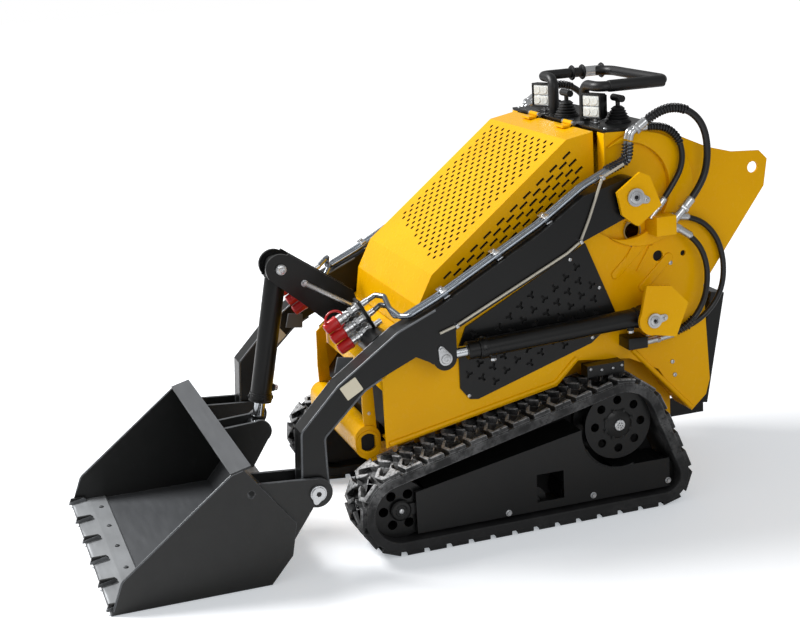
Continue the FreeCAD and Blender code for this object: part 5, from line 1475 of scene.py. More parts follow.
    def add_port(self, form: Form, side: int) -> None:
        """Adds the pointed washer plate round the hose port.

        Args:
            form: The form it is added to.
            side: 1 for the left, -1 for the right.
        """
        part = bmesh.new()
        hole = circle_points((0.0, 0.0), self.port_hole, 24)
        rim = [(x * 1.12, y * 1.12 * (1.0 + 0.75 * abs(y / self.port_hole) ** 4)) for x, y in hole]
        for height in (-SUNK, 0.0035):
            loops = []
            for outline in (hole, rim):
                ring = [part.verts.new((x, y, height)) for x, y in outline]
                loops += [part.edges.new(pair) for pair in zip(ring, ring[1:] + ring[:1])]
            bmesh.ops.bridge_loops(part, edges=loops)
        edges = [edge for edge in part.edges if edge.is_boundary]
        for outer in (True, False):
            ring = [edge for edge in edges
                    if (max(vertex.co.xy.length for vertex in edge.verts) > self.port_hole + 0.001) == outer]
            bmesh.ops.bridge_loops(part, edges=ring)
        form.take(part, sideways(side, self.face, *self.port))

    def add_pin(self, keepers: Form, plugs: Form, place: Pair, radius: float, turn: float, side: int) -> None:
        """Adds a pin's bright head, its socket and its bolted keeper.

        Args:
            keepers: The form of the bright parts.
            plugs: The form of the dark parts.
            place: The pin's Y and Z.
            radius: The head's radius.
            turn: The keeper's direction, in degrees.
            side: 1 for the left, -1 for the right.
        """
        head = sideways(side, self.pin_face, *place, 12.0)
        keepers.dished((radius * 0.42, radius * 0.5, radius * 0.92, radius), (0.001, 0.004, 0.003, 0.001), head, 28)
        plugs.hexagon(radius * 0.62, 0.0018, head @ rise(0.0008))
        flag = sideways(side, self.bracket_face, *place, turn)
        reach = radius + 0.018
        keepers.prism(teardrop(reach, radius * 0.9, 0.011), 0.0055, flag, 0.001, 1)
        keepers.bolt(0.010, flag @ shift(reach, 0.0, 0.0055))


# Boom ---------------------------------------------------------------------------------------------


@dataclass(frozen=True)
class BoomFittings:
    """Pale edge rims, partly wear and partly painted highlight, pipes with their clamps and guards, blank plates,
    couplers and pin heads of the boom.
    """

    outer: float = 0.430
    inner: float = 0.362
    rim: Path = ((-0.060, 0.737), (-0.178, 0.687), (-0.365, 0.557), (-0.484, 0.434), (-0.4945, 0.270))
    lower: Path = ((-0.417, 0.262), (-0.417, 0.408), (-0.288, 0.530), (-0.235, 0.557))
    rim_radius: float = 0.0032
    pipe_x: float = 0.4355
    pipe: Path = (
        (0.548, 1.098), (0.478, 1.066), (0.432, 0.948), (0.402, 0.883), (0.357, 0.853), (0.000, 0.684),
        (-0.052, 0.668))
    pipe_radius: float = 0.0042
    clamps: Path = ((-0.020, 0.776), (0.150, 0.868), (0.310, 0.956))
    clip: Place = (0.010, 0.012, 0.020)
    clamp: Place = (0.052, 0.020, 0.004)
    clamp_gap: float = 0.010
    clamp_bolt: float = 0.009
    clamp_x: float = 0.390
    clamp_lean: float = 28.0
    plate: Pair = (-0.3275, 0.542)
    plate_size: Pair = (0.056, 0.046)
    plate_turn: float = 29.6
    far_plate: Pair = (-0.350, 0.505)
    far_plate_size: Pair = (0.052, 0.042)
    far_plate_turn: float = 37.6
    tilt_stay: tuple[Pair, Pair] = ((-0.345, 0.775), (-0.198, 0.684))
    guarded: Path = ((0.512, 1.0749), (0.540, 1.085), (0.568, 1.095), (0.580, 1.106), (0.5835, 1.120), (0.5862, 1.150))
    guard_reach: float = 0.0098
    keeper: Place = (0.034, 0.0205, 0.009)
    lug_head: Row = (0.005, 0.007, 0.013, 0.015)
    lug_heights: Row = (0.007, 0.009, 0.008, 0.005)
    tilt_head: Row = (0.006, 0.008, 0.0135, 0.015)
    tilt_heights: Row = (0.002, 0.004, 0.003, 0.0)
    tilt_pin_face: float = 0.058
    stay_x: float = 0.050
    stay_radius: float = 0.0080
    run_radius: float = 0.008
    run_top: Path = ((-0.045, 0.762), (0.287, 0.942), (0.430, 1.037), (0.505, 1.072), (0.582, 1.100), (0.587, 1.1554))
    inner_run: tuple[Place, ...] = (
        (0.262, -0.214, 0.750), (0.272, -0.190, 0.766), (0.302, -0.172, 0.766), (0.332, -0.168, 0.736),
        (0.378, -0.148, 0.716))
    outer_run: tuple[Place, ...] = (
        (0.262, -0.195, 0.716), (0.276, -0.178, 0.735), (0.312, -0.166, 0.738), (0.350, -0.160, 0.716),
        (0.402, -0.130, 0.723))
    coupler_x: float = 0.262
    couplers: Path = ((-0.242, 0.735), (-0.223, 0.701), (-0.204, 0.667))
    coupler_lean: float = 27.8
    coupler_body: Path = (
        (0.0, -0.034), (0.0095, -0.034), (0.0095, -0.012), (0.0115, -0.010), (0.0115, 0.022), (0.0090, 0.024),
        (0.0090, 0.034), (0.0125, 0.036), (0.0125, 0.046), (0.0, 0.046))
    coupler_sleeve: Path = (
        (0.0, 0.044), (0.0155, 0.044), (0.0168, 0.046), (0.0168, 0.054), (0.0152, 0.056), (0.0152, 0.059),
        (0.0168, 0.061), (0.0168, 0.073), (0.0152, 0.075), (0.0152, 0.078), (0.0, 0.078))
    coupler_cap: Path = (
        (0.0, 0.074), (0.0178, 0.074), (0.0196, 0.076), (0.0196, 0.082), (0.0182, 0.084), (0.0178, 0.112),
        (0.0160, 0.118), (0.0110, 0.120), (0.0, 0.120))
    coupler_nuts: tuple[Place, ...] = ((0.029, 0.020, -0.012), (0.026, 0.011, 0.022))
    guard: Path = ((-0.030, -0.022), (0.026, -0.030), (0.030, 0.016), (-0.018, 0.024))
    guard_depth: float = 0.006
    guard_place: Place = (0.283, -0.305, 0.574)
    bulkhead: Place = (0.010, 0.124, 0.046)
    tether: Pair = (-0.318, 0.705)
    tether_radius: float = 0.030
    tether_wire: float = 0.0036

    def build(self, shop: Workshop) -> None:
        """Makes the boom's fittings.

        Args:
            shop: The workshop that makes the pieces.
        """
        rims, pipes, bright, plates, runs = Form(), Form(), Form(), Form(), Form()
        for side in (1, -1):
            # Pale bars along the arms' edges: partly wear, partly painted highlight.
            for x in (self.outer, self.inner):
                for line in (self.rim, self.lower):
                    rims.bent(on_side(side, x, line), self.rim_radius)
            pipes.bent(on_side(side, self.pipe_x, self.pipe), self.pipe_radius, 3)
            for run in (self.inner_run, self.outer_run):
                foot = [(side * x, y, z) for x, y, z in run]
                runs.bent(foot + on_side(side, run[-1][0], self.run_top), self.run_radius, 4)
            for place in self.clamps:
                self.add_clamp(bright, place, side)
            for y, z in self.pipe[1:6:2]:
                bright.block(self.clip, sideways(side, self.pipe_x, y, z, 25.0), 0.0015)
            self.add_lug_heads(bright, side)
            plates.label(self.plate_size, sideways(side, self.outer, *self.plate, self.plate_turn))
        plates.label(self.far_plate_size, sideways(1, -self.inner, *self.far_plate, self.far_plate_turn))
        start, end = (Vector((self.stay_x, *point)) for point in self.tilt_stay)
        bright.wire([start, end], self.stay_radius, 3)
        for point in (start, end):
            bright.bolt(0.014, sideways(1, self.stay_x, point.y, point.z))
        for side in (1, -1):
            head = sideways(side, self.tilt_pin_face, *TILT_PIN)
            bright.dished(self.tilt_head, self.tilt_heights, head)
        self.wind_guards(shop)
        shop.make_all(Body.BOOM, ("boom_worn_highlight_rims", rims, "worn_edge"), ("boom_outer_pipes", pipes, "cream_pipe"))
        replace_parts(shop.make("boom_pipe_runs", runs, Body.BOOM, "pipe_steel"), "boom_pipes")
        shop.make_all(Body.BOOM, ("boom_bright_fittings", bright, "zinc"),
                      ("boom_blank_plates", plates, "cream_label"))
        self.dress_coupler(shop)

    def wind_guards(self, shop: Workshop) -> None:
        """Winds spiral guards round the upper ends of the boom's pipes.

        Args:
            shop: The workshop that makes the piece.
        """
        form = Form()
        for side in (1, -1):
            for run in (self.inner_run, self.outer_run):
                line = Line(on_side(side, run[-1][0], self.guarded))
                parts = line.length / GUARD_PITCH * TURN_POINTS
                form.wire(line.coil(0.0, line.length, parts, self.guard_reach), GUARD_WIRE, 1)
        shop.make("boom_pipe_guards", form, Body.BOOM, "spiral_guard")

    def add_clamp(self, form: Form, place: Pair, side: int) -> None:
        """Adds a two-pipe clamp with its bolt across the arm's top.

        Args:
            form: The form it is added to.
            place: The clamp's Y and Z.
            side: 1 for the left, -1 for the right.
        """
        lean = Matrix.Rotation(math.radians(self.clamp_lean), 4, "X")
        spot = shift(side * self.clamp_x, *place) @ lean
        for height in (self.clamp_gap, -self.clamp_gap):
            form.block(self.clamp, spot @ rise(height))
        form.bolt(self.clamp_bolt, spot @ rise(self.clamp_gap + self.clamp[2] / 2))

    def add_lug_heads(self, form: Form, side: int) -> None:
        """Adds the head of the lift cylinder's front pin and its keeper.

        Args:
            form: The form it is added to.
            side: 1 for the left, -1 for the right.
        """
        spot = sideways(side, self.outer, *LIFT_PIN, 112.0)
        form.prism(teardrop(*self.keeper), 0.005, spot, 0.0012)
        form.dished(self.lug_head, self.lug_heights, spot)
        form.bolt(0.008, spot @ shift(self.keeper[0], 0.0, 0.005))

    def dress_coupler(self, shop: Workshop) -> None:
        """Makes both auxiliary couplers: three capped bodies in a slanted row on a bulkhead.

        Args:
            shop: The workshop that makes the pieces.
        """
        bodies, bulkheads, caps, guard = Form(), Form(), Form(), Form()
        lean = math.radians(self.coupler_lean)
        axis = Vector((0.0, -math.cos(lean), -math.sin(lean)))
        for side in (1, -1):
            x = side * self.coupler_x
            for y, z in self.couplers:
                self.add_coupler(bodies, caps, Vector((x, y, z)), axis)
            back = Vector((x, *self.couplers[1])) - axis * 0.004
            bulkheads.block(self.bulkhead, sideways(side, self.coupler_x, back.y, back.z, self.coupler_lean), 0.003)
            loop = [Vector((x + side * 0.006, *point)) for point in circle_points(self.tether, self.tether_radius, 12)]
            caps.wire(loop, self.tether_wire, closed=True, smooth=True)
            guard.prism(self.guard, self.guard_depth, sideways(side, *self.guard_place), 0.001, 1)
        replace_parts(shop.make("coupler_bodies", bodies, Body.BOOM, "zinc"), "coupler_blocks")
        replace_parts(shop.make("coupler_dust_caps", caps, Body.BOOM, "red_plastic"), "coupler_caps")
        shop.make_all(Body.BOOM, ("coupler_bulkheads", bulkheads, "black_paint"),
                      ("coupler_guard_plates", guard, "worn_edge"))

    def add_coupler(self, bodies: Form, caps: Form, place: Vector, axis: Vector) -> None:
        """Adds one coupler: two hexagons, a grooved sleeve and a dust cap.

        Args:
            bodies: The form of the bright parts.
            caps: The form of the red parts.
            place: The first hexagon's middle.
            axis: The way it points.
        """
        bodies.lathe(self.coupler_body, aimed(place, axis))
        for across, height, along in self.coupler_nuts:
            bodies.hexagon(across, height, aimed(place + axis * along, axis))
        bodies.lathe(self.coupler_sleeve, aimed(place, axis), 24)
        caps.lathe(self.coupler_cap, aimed(place, axis), 24)


# Cylinders ----------------------------------------------------------------------------------------


@dataclass(frozen=True)
class Cylinder:
    """The gland, weld rings and ports of one hydraulic cylinder."""

    name: str
    barrel: Body
    rod: Body
    x: float
    foot: Pair
    head: Pair
    barrel_radius: float
    rod_radius: float
    gland: float
    nose: float = 0.0
    port_turn: float = 180.0
    boss: Path = ((0.0, 0.010), (0.010, 0.010), (0.012, 0.008), (0.013, 0.0), (0.0, 0.0))
    ports: Pair = (0.050, 0.045)
    gland_lug: Place = (0.006, 0.007, 0.011)
    gland_back: float = 0.020
    gland_rim: Path = ((0.98, 0.0), (1.13, 0.001), (1.13, 0.012), (1.09, 0.014), (0.98, 0.014))
    weld: Path = ((0.99, -0.006), (1.10, -0.003), (1.12, 0.0), (1.10, 0.003), (0.99, 0.006))
    weld_at: float = 0.032
    rod_weld: Path = ((0.95, 0.0), (1.28, 0.001), (1.22, 0.009), (0.95, 0.011))
    rod_weld_at: float = 0.040

    def build(self, shop: Workshop) -> None:
        """Makes the cylinder's fittings.

        Args:
            shop: The workshop that makes the pieces.
        """
        start, end = Vector((self.x, *self.foot)), Vector((self.x, *self.head))
        way = (end - start).normalized()
        bright, painted, rod = Form(), Form(), Form()
        radius = self.barrel_radius
        painted.band(self.weld, radius, aimed(start + way * self.weld_at, way))
        gland = aimed(start + way * (self.gland - self.gland_back), way)
        painted.band(self.gland_rim, radius, gland)
        for turn in (0.0, 90.0, 180.0, 270.0):
            spot = gland @ spin(turn) @ shift(radius * self.gland_rim[1][0], 0.0, 0.0065)
            painted.block(self.gland_lug, spot, 0.0012)
        if self.nose:
            bore, wide = self.rod_radius * 1.04, radius * 0.96
            painted.lathe(
                [(bore, -0.004), (wide, -0.004), (wide, self.nose - 0.003), (radius * 0.88, self.nose),
                 (bore, self.nose)], aimed(start + way * self.gland, way), 28, closed=True)
        across = way.cross(Vector((1.0, 0.0, 0.0))).normalized()
        for along in (self.ports[0], self.gland - self.ports[1]):
            out = Matrix.Rotation(math.radians(self.port_turn), 3, way) @ across
            boss = aimed(start + way * along + out * (radius - 0.002), out)
            painted.lathe(self.boss, boss)
            bright.hexagon(0.017, 0.009, boss @ rise(0.010))
        rod.band(self.rod_weld, self.rod_radius, aimed(end - way * self.rod_weld_at, way), 24)
        shop.make_all(self.barrel, (self.name + "_ports", bright, "zinc"),
                      (self.name + "_collars", painted, "black_paint"))
        shop.make(self.name + "_rod_weld", rod, self.rod, "black_paint")


# Bucket -------------------------------------------------------------------------------------------


@dataclass(frozen=True)
class BucketFittings:
    """Pin heads, tooth blades, edge bolts and rubbed rims of the bucket."""

    pin: Pair = (-0.454, 0.252)
    pin_face: float = 0.456
    keeper: Place = (0.024, 0.0205, 0.009)
    head: Row = (0.005, 0.007, 0.014, 0.0165)
    head_heights: Row = (0.001, 0.004, 0.003, 0.0)
    rim_x: float = 0.454
    rim_radius: float = 0.0036
    rim: Path = ((-1.068, 0.012), (-1.036, 0.094), (-0.702, 0.352), (-0.668, 0.361))
    bolt_y: float = -0.990
    bolt_height: float = 0.0160
    tooth_count: int = 6
    blade: float = 0.0095
    tooth_first: float = -0.437
    tooth_pitch: float = 0.1748
    tooth: Path = ((-1.0868, 0.0084), (-1.0280, 0.0084), (-1.0280, 0.0212), (-1.0360, 0.0290), (-1.0790, 0.0290))

    def build(self, shop: Workshop) -> None:
        """Makes the bucket's fittings.

        Args:
            shop: The workshop that makes the pieces.
        """
        heads, rims, bolts, blades = Form(), Form(), Form(), Form()
        for side in (1, -1):
            spot = sideways(side, self.pin_face, *self.pin, 248.0)
            heads.prism(teardrop(*self.keeper), 0.004, spot, 0.001, 1)
            blades.hexagon(0.014, 0.0062, spot)
            heads.dished(self.head, self.head_heights, spot)
            rims.bent(on_side(side, self.rim_x, self.rim), self.rim_radius)
        for number in range(self.tooth_count):
            x = self.tooth_first + number * self.tooth_pitch
            blades.prism(self.tooth, self.blade, sideways(1, x - self.blade / 2, 0.0, 0.0), 0.0006, 1)
        for number in range(self.tooth_count - 1):
            x = self.tooth_first + (number + 0.5) * self.tooth_pitch
            bolts.button(0.008, shift(x, self.bolt_y, self.bolt_height))
        shop.make_all(Body.BUCKET, ("bucket_pin_heads", heads, "zinc"), ("bucket_rims", rims, "worn_edge"),
                      ("bucket_edge_bolts", bolts, "bucket_paint"), ("bucket_blades", blades, "black_paint"))


# Tower --------------------------------------------------------------------------------------------


@dataclass(frozen=True)
class Lamp:
    """One work lamp on its foot: a finned case, a bezel, a ribbed lens and two rows of bright chips."""

    x: float
    y: float = 0.580
    height: float = 1.243
    yaw: float = 24.0
    width: float = 0.078
    depth: float = 0.034
    bezel: float = 0.0055
    chip: Path = ((0.0, 0.0003), (0.006, 0.0005), (0.0095, 0.0016), (0.0115, 0.0016), (0.0125, 0.0))
    fins: int = 7
    foot: float = 1.190

    def build(self, cases: Form, lenses: Form, bowls: Form, feet: Form) -> None:
        """Adds the lamp's parts.

        Args:
            cases: The form of the dark parts.
            lenses: The form of the glass.
            bowls: The form of the bright parts.
            feet: The form of the brackets.
        """
        turn = math.radians(self.yaw)
        ahead = (math.sin(turn), -math.cos(turn), 0.0)
        front = aimed(Vector((self.x, self.y, self.height)) + Vector(ahead) * self.depth / 2, ahead)
        half, strip = self.width / 2, self.bezel
        cases.block((self.width, self.width, self.depth * 0.7), front @ rise(-self.depth * 0.38), 0.004, 3)
        for sign in (1, -1):
            middle = sign * (half - strip / 2)
            cases.block((self.width, strip, 0.010), front @ shift(0.0, middle, 0.0), 0.0015)
            cases.block((strip, self.width - 2 * strip, 0.010), front @ shift(middle, 0.0, 0.0), 0.0015)
        for number in range(self.fins):
            across = (number - (self.fins - 1) / 2) * self.width * 0.13
            cases.block((0.0022, self.width * 0.84, 0.016), front @ shift(across, 0.0, -self.depth * 0.86), 0.0006, 1)
        pane = self.width - 1.6 * strip
        lenses.block((pane, pane, 0.003), front @ rise(-0.0005), 0.0008, 1)
        for row in (-1, 1):
            panel = front @ shift(0.0, row * half * 0.43, 0.0008)
            bowls.prism(rounded_box(self.width * 0.80, self.width * 0.38, 0.003), 0.0018, panel, 0.0008, 2)
            for column in (-1, 1):
                chip = panel @ shift(column * half * 0.40, 0.0, 0.0016)
                bowls.lathe(self.chip, chip, 12)
        low = self.height - half
        feet.block((0.030, 0.020, 0.004), shift(self.x, self.y, self.foot + 0.002), 0.001)
        feet.block((0.014, 0.012, low - self.foot), shift(self.x, self.y, (low + self.foot) / 2), 0.001)


@dataclass(frozen=True)
class Tower:
    """The console, the levers' bellows, the handlebar's collars and grips, and the lamps."""

    top: float = 1.190
    lamp_x: float = 0.187
    rail: float = 0.215
    rail_height: float = 1.302
    rail_radius: float = 0.016
    far_collars: Row = (0.692, 0.730, 0.800)
    collar: Path = ((0.95, -0.005), (1.45, -0.004), (1.6, 0.0), (1.45, 0.004), (0.95, 0.005))
    boots: tuple[tuple[float, float, float, float], ...] = (
        (-0.014, 0.577, 0.036, 0.046), (0.222, 0.640, 0.036, 0.046))
    folds: int = 5
    grip_start: float = 0.612
    grip_end: float = 0.800
    gauge: Pair = (0.070, 0.632)
    gauge_rim: Path = ((0.0, 0.004), (0.024, 0.004), (0.026, 0.010), (0.031, 0.010), (0.033, 0.0), (0.0, 0.0))
    key_gap: float = 0.062
    key_rim: Path = ((0.0, 0.006), (0.005, 0.006), (0.006, 0.009), (0.010, 0.008), (0.012, 0.0), (0.0, 0.0))
    screws: Path = ((0.325, 0.545), (-0.325, 0.545), (0.325, 0.700), (-0.325, 0.700), (0.0, 0.708))

    def build(self, shop: Workshop) -> None:
        """Makes the tower's fittings.

        Args:
            shop: The workshop that makes the pieces.
        """
        bezels, bowls, boots, bright, grips = Form(), Form(), Form(), Form(), Form()
        cases, lenses = Form(), Form()
        for side in (1, -1):
            Lamp(side * self.lamp_x).build(cases, lenses, bowls, bright)
        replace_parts(shop.make("lamp_cases", cases, Body.CHASSIS, "black_paint"), "lamp_housings")
        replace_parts(shop.make("lamp_glasses", lenses, Body.CHASSIS, "lamp_glass"), "lamp_lenses")
        for x, y, radius, height in self.boots:
            self.add_boot(boots, x, y, radius, height)
        self.add_collars(grips, bright)
        self.add_console(bezels, bright)
        shop.make_all(Body.CHASSIS, ("console_gauge", bezels, "black_paint"), ("lamp_bowls", bowls, "lamp_bowl"),
                      ("lever_bellows", boots, "grip"), ("tower_bright_fittings", bright, "zinc"),
                      ("handle_collars", grips, "grip"))

    def add_boot(self, form: Form, x: float, y: float, radius: float, height: float) -> None:
        """Adds a lever's bellows.

        Args:
            form: The form it is added to.
            x: Its axis's X.
            y: Its axis's Y.
            radius: Its radius at the foot.
            height: Its height.
        """
        profile = [(0.0, 0.0), (radius * 1.12, 0.0), (radius * 1.12, 0.004)]
        for number in range(self.folds):
            low = 0.004 + (height - 0.004) * number / self.folds
            fold = (height - 0.004) / self.folds
            wide = radius * (1.06 - 0.55 * number / self.folds)
            profile += [(wide * 0.86, low + fold * 0.15), (wide, low + fold * 0.5), (wide * 0.86, low + fold * 0.85)]
        profile += [(radius * 0.34, height + 0.004), (0.0, height + 0.006)]
        form.lathe(profile, shift(x, y, self.top), 28)

    def add_collars(self, grips: Form, bright: Form) -> None:
        """Adds collars and bands along the handlebar.

        Args:
            grips: The form of the dark parts.
            bright: The form of the bright parts.
        """
        radius = self.rail_radius
        near = aimed((self.rail, self.grip_start, self.rail_height), REARWARD)
        length = self.grip_end - self.grip_start
        grip = (
            (0.95, 0.0), (1.12, 0.001), (1.16, 0.006), (1.16, length - 0.006), (1.12, length), (0.95, length))
        grips.band(grip, radius, near)
        for y in self.far_collars:
            grips.band(self.collar, radius, aimed((-self.rail, y, self.rail_height), REARWARD), 24)
        start, end = self.far_collars[1] + 0.006, self.far_collars[2] - 0.006
        tube = ((0.96, 0.0), (1.08, 0.001), (1.08, end - start - 0.001), (0.96, end - start))
        bright.band(tube, radius, aimed((-self.rail, start, self.rail_height), REARWARD), 24)

    def add_console(self, dark: Form, bright: Form) -> None:
        """Adds a blank gauge, a key barrel and the console's screws.

        Args:
            dark: The form of the dark parts.
            bright: The form of the bright parts.
        """
        x, y = self.gauge
        dark.lathe(self.gauge_rim, shift(x, y, self.top), 28)
        bright.lathe(self.key_rim, shift(x + self.key_gap, y, self.top))
        for place in self.screws:
            bright.button(0.006, shift(*place, self.top))


# Hood, rear and front -----------------------------------------------------------------------------


@dataclass(frozen=True)
class HoodFittings:
    """A dark sheet inside the hood and dark sleeves in its vents, both painted shade, and the tower's front strips
    beside its rear edge.
    """

    shade_sheet_half: float = 0.2885
    shade_sheet: Path = ((-0.068, 0.650), (-0.055, 0.722), (-0.010, 0.799), (0.427, 1.152), (0.503, 1.166))
    shade_sheet_foot: Path = ((0.503, 1.020), (0.447, 0.925), (0.395, 0.880))
    shade_sheet_thickness: float = 0.002
    seam: Place = (0.045, 0.004, 0.245)
    seam_centre: Place = (0.3255, 0.530, 1.0575)
    slope: Place = (0.0, -0.628, 0.778)
    slope_half: float = 0.255
    sheet_inside: float = 0.290
    wall_area: float = 4e-5
    sleeve: float = 0.0004

    def build(self, shop: Workshop) -> None:
        """Makes the hood's fittings.

        Args:
            shop: The workshop that makes the pieces.
        """
        shade_sheet, seam = Form(), Form()
        # A dark sheet under the hood's slope and down its sides: painted shade behind the vents.
        across = 2 * self.shade_sheet_half
        for (y, z), (far_y, far_z) in zip(self.shade_sheet, self.shade_sheet[1:]):
            way = Vector((0.0, far_y - y, far_z - z))
            middle = Vector((0.0, (y + far_y) / 2, (z + far_z) / 2))
            shade_sheet.block((across, self.shade_sheet_thickness, way.length), aimed(middle, way), 0.0005, 1)
        for side in (1, -1):
            shade_sheet.prism(self.shade_sheet + self.shade_sheet_foot, self.shade_sheet_thickness, sideways(side, self.shade_sheet_half, 0.0, 0.0))
            seam.block(self.seam, shift(side * self.seam_centre[0], *self.seam_centre[1:]))
        shop.make("hood_shade_sheet", shade_sheet, Body.HOOD, "dark_void")
        # Dark sleeves on the vents' walls: painted shade.
        shop.make("hood_vent_shade_sleeves", self.line_holes(), Body.HOOD, "dark_void")
        shop.make("tower_front_strips", seam, Body.CHASSIS, "yellow_paint")

    def line_holes(self) -> Form:
        """Lines the hood's vents with thin dark sleeves, as painted shade on the holes' walls.

        Returns:
            The sleeves, which follow the holes' own walls.
        """
        source, form, part = frame["nodes"]["hood"], Form(), bmesh.new()
        part.from_mesh(source.data)
        part.transform(source.matrix_world)
        bmesh.ops.remove_doubles(part, verts=part.verts, dist=1e-6)
        bmesh.ops.delete(part, geom=[face for face in part.faces if not self.is_wall(face)], context="FACES")
        part.normal_update()
        ways = {vertex.co.to_tuple(6): vertex.normal.copy() for vertex in part.verts}
        grown = bmesh.ops.extrude_face_region(part, geom=list(part.faces), use_keep_orig=True)["geom"]
        for item in grown:
            if isinstance(item, bmesh.types.BMVert):
                item.co += ways[item.co.to_tuple(6)] * self.sleeve
        form.take(part)
        return form

    def is_wall(self, face: bmesh.types.BMFace) -> bool:
        """Tells whether a face of the hood is a vent's wall.

        Args:
            face: The face.

        Returns:
            True where it is small and stands square to the sheet it pierces.
        """
        across = abs(face.calc_center_median().x)
        if across < self.slope_half:
            square = abs(face.normal.dot(Vector(self.slope))) < 0.1
        else:
            square = across > self.sheet_inside and abs(face.normal.x) < 0.1
        return square and face.calc_area() < self.wall_area


def rearward(place: Sequence[float], lean: float) -> Matrix:
    """A frame on a plane that faces rearward.

    Args:
        place: Its origin.
        lean: How far the plane's face is turned upward, in degrees.

    Returns:
        The frame, with Y up along the plane and Z out of it.
    """
    angle = math.radians(lean)
    frame_axes = Matrix(
        ((-1.0, 0.0, 0.0), (0.0, -math.sin(angle), math.cos(angle)), (0.0, math.cos(angle), math.sin(angle))))
    return Matrix.Translation(place) @ frame_axes.to_4x4()


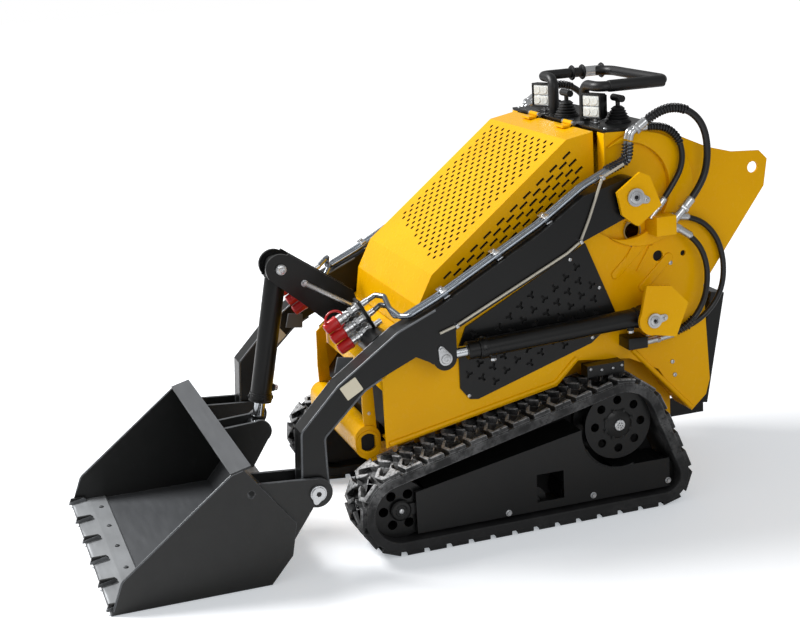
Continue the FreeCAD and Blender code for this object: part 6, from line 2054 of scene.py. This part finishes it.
@dataclass(frozen=True)
class Rear:
    """The rear panel's cover, screws, latch and blank plate, and the platform's ribs, mat and bolts."""

    panel_face: Pair = (0.7242, 0.970)
    panel_lean: float = 2.13
    cover: Pair = (0.470, 0.250)
    cover_rise: float = 0.003
    cover_corner: float = 0.018
    screw_inset: float = 0.016
    screw_x: float = 0.312
    screw_heights: Row = (0.820, 0.920, 1.020, 1.120)
    lower_face: float = 0.846
    lower_heights: Row = (0.345, 0.455, 0.565)
    plate: Pair = (0.110, 0.062)
    plate_place: Pair = (-0.135, 0.040)
    latch_x: float = 0.165
    latch: Path = (
        (0.0, -SUNK), (0.017, -SUNK), (0.017, 0.002), (0.0155, 0.0035), (0.011, 0.0035), (0.010, 0.002), (0.0, 0.002))
    latch_bar: Place = (0.016, 0.004, 0.003)
    rib_x: float = 0.110
    rib_width: float = 0.036
    rib_rise: float = 0.0045
    stud: Place = (0.036, 0.009, 0.007)
    hinge: Pair = (0.905, 0.236)
    platform_lean: float = -10.0
    platform_half: float = 0.205
    platform_length: float = 0.372
    platform_depth: float = 0.048
    hinge_bolts: Row = (-0.180, 0.0, 0.180)
    bolt_up: float = 0.040
    mat_inset: Pair = (0.018, 0.036)
    mat_up: float = 0.0075
    mat_top: float = 0.012
    mat_floor: float = 0.0435
    tread_rows: int = 7
    tread_columns: int = 6

    def build(self, shop: Workshop) -> None:
        """Makes the rear's fittings.

        Args:
            shop: The workshop that makes the pieces.
        """
        cover, screws, plate, latch = Form(), Form(), Form(), Form()
        face = rearward((0.0, *self.panel_face), self.panel_lean)
        cover.prism(rounded_box(*self.cover, self.cover_corner), self.cover_rise, face, 0.0014, 2, SUNK)
        half_x, half_z = (length / 2 - self.screw_inset for length in self.cover)
        for x in (-half_x, 0.0, half_x):
            for z in (-half_z, half_z):
                screws.button(SCREW, face @ shift(x, z, self.cover_rise))
        for side in (1, -1):
            for z in self.screw_heights:
                screws.button(SCREW, face @ shift(side * self.screw_x, z - self.panel_face[1], 0.0))
            for z in self.lower_heights:
                screws.button(SCREW, rearward((side * self.screw_x, self.lower_face, z), 0.0))
        plate.prism(
            rounded_box(*self.plate, 0.004), 0.0012, face @ shift(*self.plate_place, self.cover_rise), 0.0004, 1,
            0.0004)
        spot = face @ shift(self.latch_x, 0.0, self.cover_rise)
        latch.lathe(self.latch, spot, 24)
        latch.block(self.latch_bar, spot @ rise(0.0030), 0.0008, 1)
        shop.make_all(Body.CHASSIS, ("rear_cover", cover, "yellow_paint"), ("rear_screws", screws, "zinc"),
                      ("rear_blank_plate", plate, "cream_label"), ("rear_latch", latch, "black_paint"))
        self.dress_platform(shop)

    def dress_platform(self, shop: Workshop) -> None:
        """Makes the platform's outer ribs, its mat and its hinge bolts.

        Args:
            shop: The workshop that makes the pieces.
        """
        ribs, mat, bolts = Form(), Form(), Form()
        inner = rearward((0.0, *self.hinge), self.platform_lean)
        outer = inner @ rise(self.platform_depth)
        middle = self.platform_length / 2
        for side in (-1, 1):
            ribs.prism(rounded_box(self.rib_width, self.platform_length * 0.72, 0.016), self.rib_rise,
                       outer @ shift(side * self.rib_x, middle, 0.0), 0.0040, 2, SUNK)
        for x in self.hinge_bolts:
            bolts.bolt(0.011, outer @ shift(x, self.bolt_up, 0.0))
        width, length = 2 * self.platform_half - self.mat_inset[0], self.platform_length - self.mat_inset[1]
        centre = inner @ shift(0.0, middle + self.mat_up, 0.0)
        mat.block((width, length, self.mat_floor - self.mat_top), centre @ rise((self.mat_floor + self.mat_top) / 2),
                  0.003)
        for row in range(self.tread_rows):
            for column in range(self.tread_columns):
                x = (column - (self.tread_columns - 1) / 2) * width / (self.tread_columns + 0.2)
                y = (row - (self.tread_rows - 1) / 2) * length / (self.tread_rows + 0.2)
                turn = spin(45.0 if (row + column) % 2 else -45.0)
                mat.block(self.stud, centre @ shift(x, y, self.mat_top - 0.0015) @ turn, 0.0022, 1)
        shop.make_all(Body.PLATFORM, ("platform_ribs", ribs, "black_paint"), ("platform_mat", mat, "grip"),
                      ("platform_bolts", bolts, "zinc"))


@dataclass(frozen=True)
class Front:
    """The rings of the front cross tube, dark discs inside its ends as painted shade, and the bolts of its uprights.
    """

    tube: Pair = (-0.237, 0.308)
    tube_half: float = 0.255
    upright_x: float = 0.248
    bolts: Path = ((-0.228, 0.398), (-0.228, 0.500))

    def build(self, shop: Workshop) -> None:
        """Makes the front's fittings.

        Args:
            shop: The workshop that makes the pieces.
        """
        rings, bolts, bore_shades = Form(), Form(), Form()
        for side in (1, -1):
            spot = sideways(side, self.tube_half, *self.tube)
            rings.ring(0.028, 0.0375, 0.003, spot)
            # A dark disc inside the tube's end: painted shade.
            bore_shades.lathe([(0.0, 0.0), (0.030, 0.0), (0.030, -0.004), (0.0, -0.004)], spot @ rise(-0.012), 24)
            for place in self.bolts:
                bolts.bolt(0.011, sideways(side, self.upright_x, *place, 10.0))
        shop.make_all(Body.CHASSIS, ("front_tube_rings", rings, "yellow_paint"), ("front_bolts", bolts, "zinc"),
                      ("front_tube_bore_shades", bore_shades, "dark_void"))


CYLINDERS = (
    *(Cylinder(f"lift_{side.lower()}", Body[f"LIFT_{side}_BARREL"], Body[f"LIFT_{side}_ROD"], sign * 0.396, FOOT_PIN,
               LIFT_PIN, 0.029, 0.017, 0.550, 0.036) for side, sign in (("LEFT", 1), ("RIGHT", -1))),
    Cylinder("tilt", Body.TILT_BARREL, Body.TILT_ROD, 0.0, TILT_PIN, TILT_HEAD_PIN, 0.033, 0.018, 0.428),
)


def main() -> None:
    """Builds the loader's looks in order."""
    logging.basicConfig(level=logging.INFO)
    Studio().build()
    shop = Workshop(dress_frame(frame["record"]))
    for hose in HOSES:
        hose.lay(shop)
    for assembly in (
            Tread(), Undercarriage(), Sides(), BoomFittings(), *CYLINDERS, BucketFittings(), Tower(), HoodFittings(),
            Rear(), Front()):
        assembly.build(shop)


if __name__ == "__main__":
    main()
